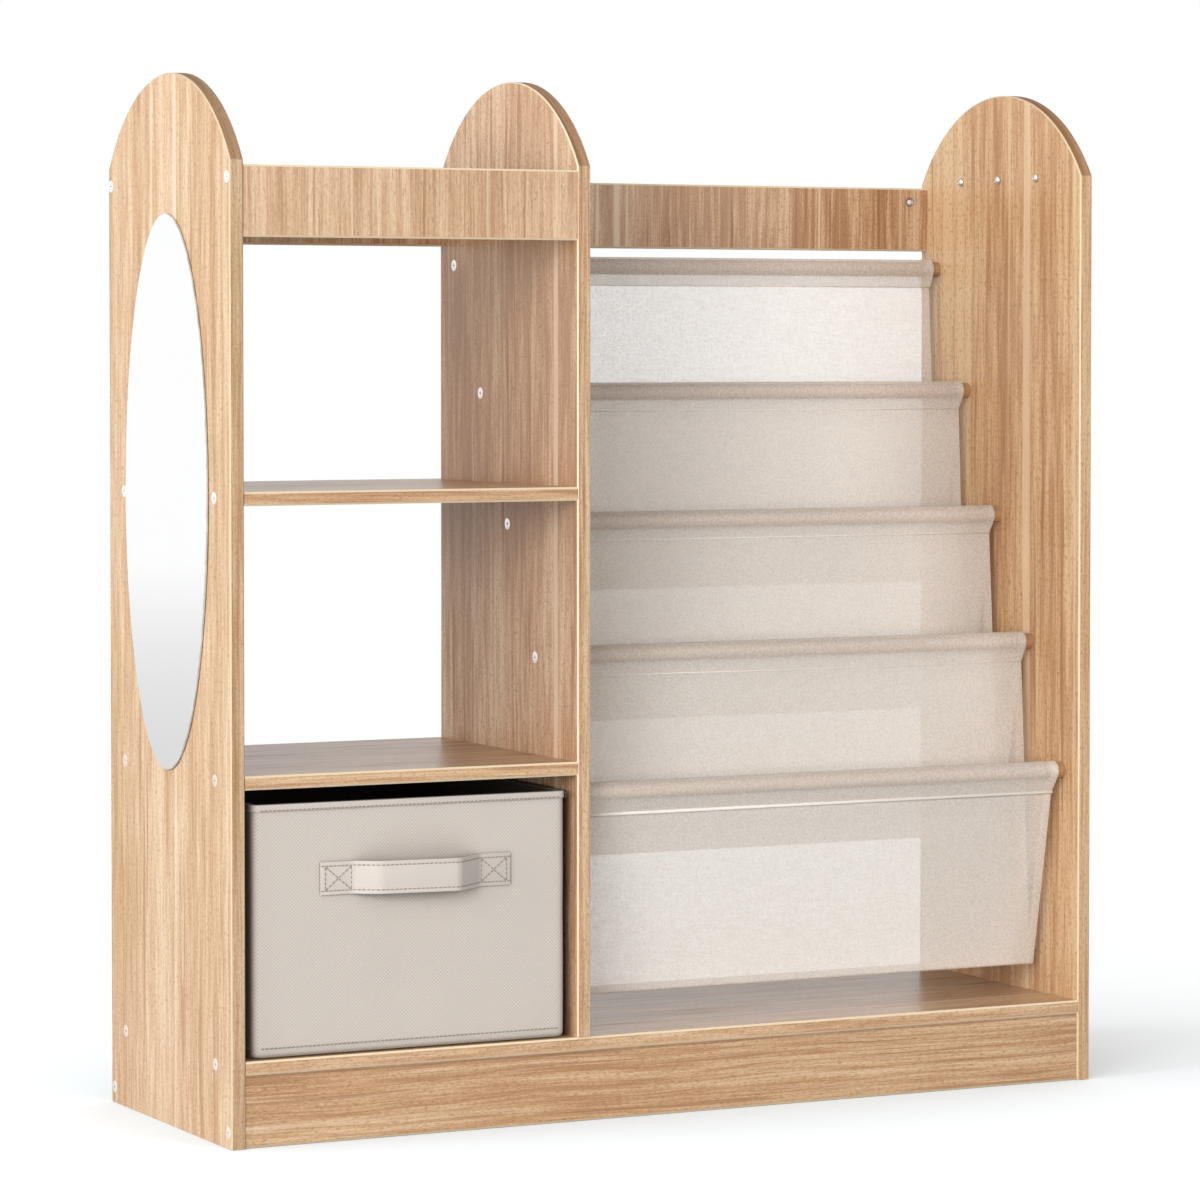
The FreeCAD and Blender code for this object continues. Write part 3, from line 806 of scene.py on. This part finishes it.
flatSteps = (  # a countersunk cone up to a thin flat disc
    (screw["headDepth"], screw["headRadius"] / screw["shankRadius"]), (screw["proud"], 1),
)
panSteps = (  # a flat seat, then a head that draws in to its crown
    (0, screw["panRadius"] / screw["shankRadius"]),
    *((screw["panHeight"] * reach, scale) for reach, scale in screw["crown"]),
)
flatScrew = makeScrew("flat_screw", screw["flatLength"], flatSteps, screw["crossLength"])
panScrew = makeScrew("pan_screw", screw["panLength"], panSteps, screw["panCrossLength"])
lowEnd, highEnd = 0, 1
fromLeft = (lowEnd, axisX, (0, 0, 0), screw["headDepth"])
fromRight = (highEnd, axisX, (0, 0, math.pi), -screw["headDepth"])
fromBelow = (lowEnd, axisZ, (0, -quarterTurn, 0), screw["headDepth"])
panFromLeft = (lowEnd, axisX, (0, 0, 0), screw["panSeat"])
placeScrews("left_panel_screws", flatScrew, fromLeft, "zinc_shaded_low")
placeScrews("left_rod_screws", flatScrew, fromLeft, "white_zinc")
placeScrews("right_panel_screws", flatScrew, fromRight, "bright_zinc")
placeScrews("right_rod_screws", flatScrew, fromRight, "bright_zinc")
placeScrews("divider_screws", flatScrew, fromRight, "bright_zinc")
placeScrews("divider_foot_screws", flatScrew, fromBelow, "bright_zinc")
placeScrews("coat_peg_screws", panScrew, panFromLeft, "nickel_steel")
for pattern in (flatScrew, panScrew):
    bpy.data.objects.remove(pattern)
print("screws ready")


# Cam discs in the rear rail, with an eased rim and a boss in a ring; the boss is painted a paler zinc as a painted
# highlight

cam = {
    "sides": 40, "rimRound": 0.25 * mm, "lip": 1.0 * mm, "lipDepth": 0.25 * mm, "moat": 1.5 * mm,
    "moatDepth": 1.2 * mm, "bossShare": 0.8,
}


def makeCams():
    discs = []
    for low, high in looseBoxes("rail_cams"):
        middle = (low + high) / 2
        depth = high.y - low.y
        radius = (high.x - low.x) / 2
        disc = addRound("cam", cam["sides"], radius, depth, (depth / 2, 0, 0))
        pickFaces(disc, facing(axisX, -1))
        bpy.ops.mesh.inset(thickness=cam["lip"], depth=-cam["lipDepth"])
        bpy.ops.mesh.inset(thickness=cam["moat"], depth=-cam["moatDepth"])
        drawOut(-cam["moatDepth"], 0, 0)
        scaleAcross(cam["bossShare"])
        leaveEdit()
        roundEdges(disc, cam["rimRound"], 2, 0.9)
        smoothByAngle(disc, 30)
        paint(disc, finishes["cast_zinc"], finishes["bright_zinc"])
        bossRadius = radius - cam["lip"] - cam["moat"]
        # painted highlight: the boss's front faces take the paler zinc
        for face in disc.data.polygons:
            highlightedBoss = face.normal.x < -0.3 and math.hypot(face.center.y, face.center.z) < bossRadius
            face.material_index = 1 if highlightedBoss else 0
        discs.append(copyTo(disc, (middle.x, low.y, middle.z), (0, 0, quarterTurn)))
        bpy.data.objects.remove(disc)
    handOver(joined(discs, "rail_cams_cross"), "cabinet", "zinc_cam", "rail_cams")


makeCams()


# Coat pegs, turned: a disc drawn out step by step to a domed head

peg = {  # shares of the peg's reach and of its largest radius
    "sides": 48,
    "reaches": (0.02, 0.05, 0.1, 0.15, 0.24, 0.36, 0.48, 0.58, 0.67, 0.74, 0.8, 0.86, 0.91, 0.95, 0.98, 1.0),
    "radii": (0.84, 0.86, 0.85, 0.77, 0.66, 0.57, 0.57, 0.64, 0.77, 0.9, 0.98, 1.0, 0.96, 0.85, 0.66, 0.42),
}


def makePegs():
    knobs = []
    for low, high in looseBoxes("coat_pegs"):
        reaches = [share * (high.x - low.x) for share in peg["reaches"]]
        radii = [share * (high.z - low.z) / 2 for share in peg["radii"]]
        _, y, z = (low + high) / 2
        knob = addRound("knob", peg["sides"], radii[0], reaches[0], (low.x + reaches[0] / 2, y, z))
        pickFaces(knob, facing(axisX, 1))
        for step in range(1, len(reaches)):
            drawOut(reaches[step] - reaches[step - 1], 0, 0)
            scaleAcross(radii[step] / radii[step - 1], (0, y, z))
        leaveEdit()
        smoothByAngle(knob, 50)
        paint(knob, pegMaterial)
        knobs.append(knob)
    handOver(joined(knobs, "coat_pegs_turned"), "cabinet", "peg_wood", "coat_pegs")


makePegs()
print("cams and pegs ready")


# Mirror: an oval plate with a slightly bevelled rim

mirror = {"sides": 160, "rimRound": 0.7 * mm}


def makeMirror():
    low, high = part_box("mirror")
    middle = (low + high) / 2
    piece = addRound("oval_mirror", mirror["sides"], 0.5, high.x - low.x, middle)
    pickAll(piece)
    bpy.ops.transform.resize(value=(1, high.y - low.y, high.z - low.z), center_override=middle)
    leaveEdit()
    bevelEdges(piece, lambda a, b: max(a.x, b.x) < low.x + tiny, mirror["rimRound"], 1)
    paint(piece, finishes["mirror_edge"], mirrorFace)
    for face in piece.data.polygons:
        face.material_index = 1 if face.normal.x < -0.99 else 0
    smoothByAngle(piece, 20)
    handOver(piece, "cabinet", "mirror", "mirror")


makeMirror()
print("mirror ready")


# Book sling: one long cloth that goes over each rod in a sewn sleeve and hangs in a fold between rods

sling = {
    "columns": 44,
    "sleeveRadius": 9.5 * mm,
    "seamDrops": (18 * mm, 18 * mm, 18 * mm, 19.5 * mm, 21.5 * mm),
    "seamGap": 0.7 * mm,
    "foldRadius": 3.1 * mm,
    "foldRise": 31 * mm,
    "foldPlaceShare": 0.66,
    "sleeveSteps": 16,
    "layerSteps": 14,
    "foldSteps": 7,
    "swell": 1.6 * mm,
    "swellsPerMetre": (5.5, 9, 5),
    "freeStep": 10 * mm,  # rows closer than this are held by a seam, a rod or a fold
    "hemWidth": 9 * mm,
    "hemGap": 0.35 * mm,
    "endInset": 2.5 * mm,
    "welts": (0.5 * mm, 0.5 * mm, 0.5 * mm, 0.6 * mm, 1.6 * mm),
    "weltSides": 10,
    "weltBed": 0.4,
    "weltEnd": (0.4, 0.3),
}


def rodPlaces():  # (y, z) of each rod
    middles = [sum(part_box(node), Vector((0, 0, 0))) / 2 for node in rodNodes]
    return [Vector((middle.y, middle.z)) for middle in middles]


def foldPlaces(rods):
    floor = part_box("bottom_board")[1].z
    drop = rods[-1].y - floor - sling["foldRise"]
    folds = []
    for rear, front in zip(rods[:-1], rods[1:]):
        folds.append(Vector((front.x + sling["foldPlaceShare"] * (rear.x - front.x), front.y - drop)))
    return folds


def hangDirections(rods, folds):
    ways = []
    for number, rod in enumerate(rods):
        total = Vector((0, 0))
        for fold in folds[max(number - 1, 0):number + 1]:
            total += (fold - rod).normalized()
        ways.append(total.normalized())
    return ways


def straight(start, end):
    steps = sling["layerSteps"]
    return [start.lerp(end, step / steps) for step in range(1, steps + 1)]


def sleeveLoop(rod, way, drop, fromBack):  # up one side of the rod, over it and down the other
    radius = sling["sleeveRadius"]
    across = Vector((-way.y, way.x))  # towards the back where way points down
    if across.x < 0:
        across = -across
    lean = math.asin(radius / drop)
    loop = []
    for step in range(sling["sleeveSteps"] + 1):
        angle = (math.pi + 2 * lean) * step / sling["sleeveSteps"] - lean
        loop.append(rod + across * (radius * math.cos(angle)) - way * (radius * math.sin(angle)))
    return loop if fromBack else loop[::-1]


def slingPath():
    rods = rodPlaces()
    folds = foldPlaces(rods)
    sleeves = list(zip(rods, hangDirections(rods, folds), sling["seamDrops"]))
    seams = [rod + way * drop for rod, way, drop in sleeves]
    gap = Vector((sling["seamGap"], 0))
    radius = sling["foldRadius"]
    path = [seams[0] - gap, *sleeveLoop(*sleeves[0], False), seams[0] + gap]
    for fold, seam, sleeve in zip(folds, seams[1:], sleeves[1:]):
        path += straight(path[-1], fold + Vector((radius, 0)))
        for step in range(1, sling["foldSteps"] + 1):
            angle = -math.pi * step / sling["foldSteps"]
            path.append(fold + Vector((radius * math.cos(angle), radius * math.sin(angle))))
        path += straight(path[-1], seam + gap)
        path += sleeveLoop(*sleeve, True)
        path.append(seam - gap)
    return path, seams


def pathLengths(path):
    lengths = [0]
    for start, end in zip(path[:-1], path[1:]):
        lengths.append(lengths[-1] + (end - start).length)
    return lengths


def swellAt(x, spot):  # how far the hanging cloth stands off its straight line
    waves = (place * perMetre for place, perMetre in zip((x, spot.x, spot.y), sling["swellsPerMetre"]))
    return noise.noise(Vector(waves)) * sling["swell"]


def hangSheet(name, path, columns, xLow, xHigh, offset):  # a flat grid whose rows are laid along the path
    lastRow = len(path) - 1
    clearSelection()
    bpy.ops.mesh.primitive_grid_add(x_subdivisions=columns, y_subdivisions=lastRow, size=1)
    piece = named(name)
    lengths = pathLengths(path)
    flat = []  # each point's place on the flat cloth
    for vertex in piece.data.vertices:
        column = round((vertex.co.x + 0.5) * columns)
        row = round((vertex.co.y + 0.5) * lastRow)
        x = xLow + (xHigh - xLow) * column / columns
        flat.append((x, lengths[row]))
        before, after = path[max(row - 1, 0)], path[min(row + 1, lastRow)]
        along = (after - before).normalized()
        away = Vector((-along.y, along.x))
        step = min((after - path[row]).length, (path[row] - before).length)
        free = min(1.0, step / sling["freeStep"]) ** 2
        spot = path[row] + away * (swellAt(x, path[row]) * free + offset)
        vertex.co = (x, spot.x, spot.y)
    weave = piece.data.uv_layers[0].data
    for loop in piece.data.loops:
        weave[loop.index].uv = flat[loop.vertex_index]
    smoothByAngle(piece, 80)
    paint(piece, slingLinen)
    return piece, lengths[-1]


def makeWelts(seams, xLow, xHigh):  # the stitched ridge along each seam
    ridges = []
    for seam, radius in zip(seams, sling["welts"]):
        middle = ((xLow + xHigh) / 2, seam.x - sling["seamGap"] - radius * sling["weltBed"], seam.y)
        ridge = addRound("welt", sling["weltSides"], radius, xHigh - xLow, middle)
        pickFaces(ridge, lambda face: abs(face.normal.x) > 0.9)
        thickness, depth = (radius * share for share in sling["weltEnd"])
        bpy.ops.mesh.inset(thickness=thickness, depth=depth)
        leaveEdit()
        smoothByAngle(ridge, 60)
        paint(ridge, cloths["seam_weave"])
        ridges.append(ridge)
    return handOver(joined(ridges, "sling_seams"), "cabinet", "sling_cloth")


def makeSling():
    low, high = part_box("book_sling")
    high.x -= sling["endInset"]
    path, seams = slingPath()
    cloth, length = hangSheet("book_sling_cloth", path, sling["columns"], low.x, high.x, 0)
    handOver(cloth, "cabinet", "sling_cloth", "book_sling")
    hems = []
    for start, end in ((low.x, low.x + sling["hemWidth"]), (high.x - sling["hemWidth"], high.x)):
        hem, _ = hangSheet("side_hem", path, 2, start, end, sling["hemGap"])
        hems.append(hem)
    hem = handOver(joined(hems, "sling_side_hems"), "cabinet", "sling_cloth")
    welts = makeWelts(seams, low.x, high.x)
    print("sling length", round(length, 3))


makeSling()
print("sling ready")


# Stitches: one stitch drawn out of a small ball, repeated along a line

stitch = {"length": 3.6 * mm, "pitch": 4.1 * mm, "thick": 0.62 * mm}


def stitchLine(start, end):
    run = end - start
    count = max(2, round(run.length / stitch["pitch"]))
    clearSelection()
    bpy.ops.mesh.primitive_uv_sphere_add(segments=8, ring_count=6, radius=stitch["thick"])
    piece = named("stitch")
    pickAll(piece)
    bpy.ops.transform.resize(value=(1, 1, stitch["length"] / 2 / stitch["thick"]), center_override=(0, 0, 0))
    leaveEdit()
    step = run / count
    piece.rotation_euler = run.to_track_quat("Z", "Y").to_euler()
    piece.location = start + step / 2
    applyPlace(piece)
    applyModifier(
        piece, "ARRAY", count=count, use_relative_offset=False, use_constant_offset=True,
        constant_offset_displace=step,
    )
    smoothByAngle(piece, 60)
    paint(piece, finishes["thread"])
    return piece


# Toy bin

toyBin = {
    "shell": {"corner": 7.4 * mm, "foot": 5 * mm, "thick": 1.1 * mm},
    "lining": {"corner": 3 * mm, "foot": 1 * mm, "thick": 0.7 * mm},
    "cuts": (26, 24, 20),  # across x, y and z
    "ripple": 0.35 * mm, "ripplesPerMetre": 24, "rippleIn": 0.6,
    "rimThick": 0.8 * mm, "rimRound": 0.6 * mm, "rimShort": 2.7 * mm, "mouth": 6.9 * mm,
    "hemStitchRise": 3.7 * mm, "footStitchRise": 9 * mm, "stitchSink": 0.05 * mm,
}


def clothBox(name, low, high, form, material):
    piece = addBlock(name, low, high)
    bevelEdges(piece, goesUp, form["corner"], 5)
    bevelEdges(piece, lambda a, b: max(a.z, b.z) < low.z + tiny, form["foot"], 4)
    deleteFaces(piece, facing(axisZ, 1))
    for axis, count in enumerate(toyBin["cuts"]):
        normal = Vector((0, 0, 0))
        normal[axis] = 1
        for step in range(1, count):
            cutThrough(piece, low.lerp(high, step / count), normal)
    for vertex in piece.data.vertices:
        wave = noise.noise(vertex.co * toyBin["ripplesPerMetre"]) - toyBin["rippleIn"]
        vertex.co = vertex.co + vertex.normal * wave * toyBin["ripple"]
    applyModifier(piece, "SOLIDIFY", thickness=form["thick"], offset=-1)
    smoothByAngle(piece, 50)
    paint(piece, material)
    return piece


def makeRim():
    low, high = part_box("bin_rim_binding")
    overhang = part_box("bin_outer_cloth")[0].x - low.x
    low.z += toyBin["rimShort"]
    piece = addBlock("bin_rim", low, high)
    bevelEdges(piece, goesUp, toyBin["shell"]["corner"] + overhang, 6)
    deleteFaces(piece, facing(axisZ, -1))
    pickFaces(piece, facing(axisZ, 1))
    bpy.ops.mesh.inset(thickness=toyBin["mouth"])
    drawOut(0, 0, low.z - high.z)
    bpy.ops.mesh.delete(type="FACE")
    leaveEdit()
    mergeAndTurnOut(piece)
    applyModifier(piece, "SOLIDIFY", thickness=toyBin["rimThick"], offset=-1)
    roundEdges(piece, toyBin["rimRound"], 3, 0.7)
    smoothByAngle(piece, 50)
    paint(piece, cloths["bin_weave"], cloths["lining_weave"])
    centre = (low + high) / 2
    for face in piece.data.polygons:  # the side towards the inside is lined
        inside = (centre - face.center).normalized()
        lined = face.normal.x * inside.x + face.normal.y * inside.y > 0.2 and face.center.z < high.z - tiny
        face.material_index = 1 if lined else 0
    handOver(piece, "toy_bin", "bin_cloth", "bin_rim_binding")


def ringStitches(name, low, high, z):  # a row of stitches round the four walls
    corner, sink = toyBin["shell"]["corner"], toyBin["stitchSink"]
    rows = []
    for y in (low.y + sink, high.y - sink):
        rows.append(stitchLine(Vector((low.x + corner, y, z)), Vector((high.x - corner, y, z))))
    for x in (low.x + sink, high.x - sink):
        rows.append(stitchLine(Vector((x, low.y + corner, z)), Vector((x, high.y - corner, z))))
    handOver(joined(rows, name), "toy_bin", "bin_cloth")


def makeBin():
    low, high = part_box("bin_outer_cloth")
    shell = clothBox("bin_cloth_shell", low, high, toyBin["shell"], cloths["bin_weave"])
    handOver(shell, "toy_bin", "bin_cloth", "bin_outer_cloth")
    lining = clothBox("bin_lining_cloth", *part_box("bin_lining"), toyBin["lining"], cloths["lining_weave"])
    handOver(lining, "toy_bin", "bin_lining", "bin_lining")
    makeRim()
    rimLow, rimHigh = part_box("bin_rim_binding")
    ringStitches("bin_hem_stitches", rimLow, rimHigh, rimLow.z + toyBin["hemStitchRise"])
    ringStitches("bin_foot_stitches", low, high, low.z + toyBin["footStitchRise"])


makeBin()
print("bin ready")


# Strap handle: a folded strip with two sewn-down ends and a raised grip

strap = {
    "patch": 31 * mm,
    "gripLeft": 40 * mm,
    "gripRight": 33 * mm,
    "pull": 9 * mm,  # how much further out the right bend stands
    "thick": 1.8 * mm,
    "bendRound": 4 * mm,
    "edgeRound": 0.5 * mm,
    "stitchInset": 3.7 * mm,
    "stitchProud": 0.1 * mm,
    "groove": 0.3 * mm,
    "grooveHalf": 1.1 * mm,
    "boxInset": 4.2 * mm,
    "boxInnerInset": 1.68 * mm,
}


def strapStations(low, high):  # (x, y) of the strip's back, from left to right
    middle = (low.x + high.x) / 2
    wall = high.y
    raised = low.y + strap["thick"]
    return [
        Vector((low.x, wall)), Vector((low.x + strap["patch"], wall)),
        Vector((middle - strap["gripLeft"], raised)),
        Vector((middle + strap["gripRight"], raised - strap["pull"])),
        Vector((high.x - strap["patch"], wall)), Vector((high.x, wall)),
    ]


def stitchLevels(low, high):
    return (low.z + strap["stitchInset"], high.z - strap["stitchInset"])


def makeStrap():
    low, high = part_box("bin_handle")
    stations = strapStations(low, high)
    clearSelection()
    bpy.ops.mesh.primitive_plane_add(size=1, rotation=(quarterTurn, 0, 0))
    piece = named("bin_strap")
    applyPlace(piece)
    for vertex in piece.data.vertices:  # the first stretch, then the rest is drawn out of its right edge
        spot = stations[0] if vertex.co.x < 0 else stations[1]
        vertex.co = (spot.x, spot.y, low.z if vertex.co.z < 0 else high.z)
    for start, end in zip(stations[1:-1], stations[2:]):
        pickEdges(piece, lambda a, b: abs(a.x - start.x) < tiny and abs(b.x - start.x) < tiny)
        drawOut(end.x - start.x, end.y - start.y, 0)
        leaveEdit()
    bends = [spot.x for spot in stations[1:-1]]

    def isBend(a, b):
        return abs(a.x - b.x) < tiny and any(abs(a.x - x) < tiny for x in bends)

    bevelEdges(piece, isBend, strap["bendRound"], 5)
    for level in stitchLevels(low, high):
        for shift in (-strap["grooveHalf"], 0, strap["grooveHalf"]):
            cutThrough(piece, (0, 0, level + shift), (0, 0, 1))
    mergeAndTurnOut(piece)
    pickAll(piece)
    if sum(face.normal.y for face in piece.data.polygons) > 0:
        bpy.ops.mesh.flip_normals()
    leaveEdit()
    applyModifier(piece, "SOLIDIFY", thickness=strap["thick"], offset=1)
    for vertex in piece.data.vertices:  # the stitched lines draw the strip in
        fromEdge = min(vertex.co.z - low.z, high.z - vertex.co.z)
        if abs(fromEdge - strap["stitchInset"]) < tiny and vertex.normal.y < -0.3:
            vertex.co -= vertex.normal * strap["groove"]
    roundEdges(piece, strap["edgeRound"], 3, 1.0)
    smoothByAngle(piece, 45)
    paint(piece, cloths["strap_weave"])
    handOver(piece, "toy_bin", "bin_strap", "bin_handle")


def makeStrapStitches():
    low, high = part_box("bin_handle")
    stations = strapStations(low, high)
    lift = strap["thick"] - strap["groove"] / 2
    rows = []
    for start, end in zip(stations[:-1], stations[1:]):
        run = end - start
        away = Vector((run.y, -run.x)).normalized() * lift
        for z in stitchLevels(low, high):
            rows.append(stitchLine(Vector((*(start + away), z)), Vector((*(end + away), z))))
    outer, inner = strap["boxInset"], strap["boxInnerInset"]
    bottom, top = low.z + outer, high.z - outer
    y = high.y - strap["thick"] - strap["stitchProud"]
    for west, east in (  # a crossed box on each sewn-down end
        (stations[0].x + outer, stations[1].x - inner), (stations[-2].x + inner, stations[-1].x - outer),
    ):
        for start, end in (
            ((west, y, bottom), (west, y, top)), ((east, y, bottom), (east, y, top)),
            ((west, y, bottom), (east, y, top)), ((west, y, top), (east, y, bottom)),
        ):
            rows.append(stitchLine(Vector(start), Vector(end)))
    handOver(joined(rows, "bin_strap_stitches"), "toy_bin", "bin_strap")


makeStrap()
makeStrapStitches()
print("strap ready")


# Finish of the pieces that keep their shape

keptFinish = {
    **boardMaterials,
    **{node: rodMaterial for node in rodNodes},
    **{node: dowelMaterial for node in ("rail_dowels", "plinth_dowels")},
    **{"bin_%s_board" % side: finishes["grey_board"] for side in ("front", "back", "left", "right")},
    "bin_base_board": cloths["lining_weave"],
    "rail_cam_bolts": finishes["cast_zinc"],
    "mirror_tape": finishes["foam_tape"],
}
for node, material in keptFinish.items():
    paint(nodes[node], material)
print("finishes on the kept pieces")


# Stage: white floor and backdrop, soft light mostly from the left, camera at the photograph's place

stage = {
    "floorSize": 60.0,
    "floorDrop": 0.3 * mm,
    "floorShade": 0.6,
    "floorBounce": 0.35,
    "floorTint": (0.91, 1.0, 1.06, 1),
    "floorLift": 0.83,
    "contactShare": 0.9,
    "contactReach": 0.8,
    "fadeStart": 0.6,
    "fadeEnd": 1.5,
    "mirrorNear": 2.0,
    "mirrorFar": 12.0,
    "mirrorDim": 0.7,
    "roomLight": 0.03,
    "lampSize": 3.6,
    "lampAway": 7.0,
    "aim": Vector((0, 0, 0.45)),
    "lamps": {  # degrees round from the front towards the left, degrees up, power
        "key": (45, 10, 280.0),
        "fill": (-20, 10, 206.0),
        "side": (60, 10, 150.0),
        "farSide": (90, 10, 225.0),
        "high": (90, 40, 115.0),
    },
}
cameraSetup = {
    "place": Vector((-1.9735, -3.9114, 0.7083)),
    "heading": -26.4703,
    "tilt": 1.975,
    "lens": 138.789,
    "sensor": 36,
    "shiftY": -0.08,
}


def seenDirectly(tree):  # 1 for rays that show the background: camera, mirror and glass rays
    path = put(tree, "LightPath").outputs
    shown = sums(tree, "MAXIMUM", path["Is Camera Ray"], path["Is Glossy Ray"])
    return sums(tree, "MAXIMUM", shown, path["Is Transmission Ray"])


def makeFloor():
    clearSelection()
    bpy.ops.mesh.primitive_plane_add(size=stage["floorSize"], location=(0, 0, -stage["floorDrop"]))
    floor = named("floor")
    applyPlace(floor)
    material, tree, shader = newMaterial(
        "white_floor", Roughness=1.0, Specular_IOR_Level=0.0, Emission_Color=(1, 1, 1, 1),
    )
    seen = seenDirectly(tree)
    dim = stage["floorBounce"]
    shade = timesPlus(tree, seen, stage["floorShade"] - dim, dim)
    # the cool tint cancels the warm light bounced onto the floor from the wood
    feed(tree, shader, Base_Color=blendColour(tree, 1.0, shade, stage["floorTint"], "MULTIPLY"))
    # painted contact shadow: ambient occlusion dims the floor's glow near the cabinet
    openness = put(tree, "AmbientOcclusion", {"samples": 8}, Distance=stage["contactReach"]).outputs["AO"]
    touched = stage["floorLift"] * stage["contactShare"]
    lift = timesPlus(tree, openness, touched, stage["floorLift"] - touched)
    feed(tree, shader, Emission_Strength=times(tree, lift, seen))
    x, y, _ = axesOf(tree)
    away = sums(tree, "SQRT", timesPlus(tree, x, x, times(tree, y, y)))
    far = times(tree, between(tree, away, stage["fadeStart"], stage["fadeEnd"]), seen)
    # painted reflection: mirrors and glossy surfaces see the floor dimmer near the cabinet and full further out
    mirrored = between(tree, away, stage["mirrorNear"], stage["mirrorFar"], stage["mirrorDim"] - 1, 0)
    light = timesPlus(tree, put(tree, "LightPath").outputs["Is Glossy Ray"], mirrored, 1)
    glow = put(tree, "Emission", Strength=light)
    mix = put(tree, "MixShader", Fac=far)
    tree.links.new(shader.outputs[0], mix.inputs[1])
    tree.links.new(glow.outputs[0], mix.inputs[2])
    tree.links.new(mix.outputs[0], tree.nodes["Material Output"].inputs["Surface"])
    paint(floor, material)


def makeWorld():
    world = bpy.data.worlds.new("studio")
    world.use_nodes = True
    tree = world.node_tree
    dim = stage["roomLight"]
    light = timesPlus(tree, seenDirectly(tree), 1 - dim, dim)
    feed(tree, tree.nodes["Background"], Color=(1, 1, 1, 1), Strength=light)
    bpy.context.scene.world = world


def makeLamp(name, turn, rise, power):
    turn, rise = math.radians(turn), math.radians(rise)
    way = Vector((-math.sin(turn) * math.cos(rise), -math.cos(turn) * math.cos(rise), math.sin(rise)))
    lamp = bpy.data.lights.new(name, "AREA")
    lamp.shape = "SQUARE"
    lamp.size = stage["lampSize"]
    lamp.energy = power
    holder = bpy.data.objects.new(name, lamp)
    holder.location = stage["aim"] + way * stage["lampAway"]
    holder.rotation_euler = way.to_track_quat("Z", "Y").to_euler()
    bpy.context.scene.collection.objects.link(holder)


def makeCamera():
    data = bpy.data.cameras.new("camera")
    data.lens = cameraSetup["lens"]
    data.sensor_width = cameraSetup["sensor"]
    data.shift_y = cameraSetup["shiftY"]
    holder = bpy.data.objects.new("camera", data)
    holder.location = cameraSetup["place"]
    turn = math.radians(90 - cameraSetup["tilt"])
    holder.rotation_euler = (turn, 0, math.radians(cameraSetup["heading"]))
    bpy.context.scene.collection.objects.link(holder)
    bpy.context.scene.camera = holder


makeFloor()
makeWorld()
for lampName, lampSetting in stage["lamps"].items():
    makeLamp(lampName, *lampSetting)
makeCamera()
bpy.context.scene.view_settings.view_transform = "Standard"
print("stage ready")

clearSelection()
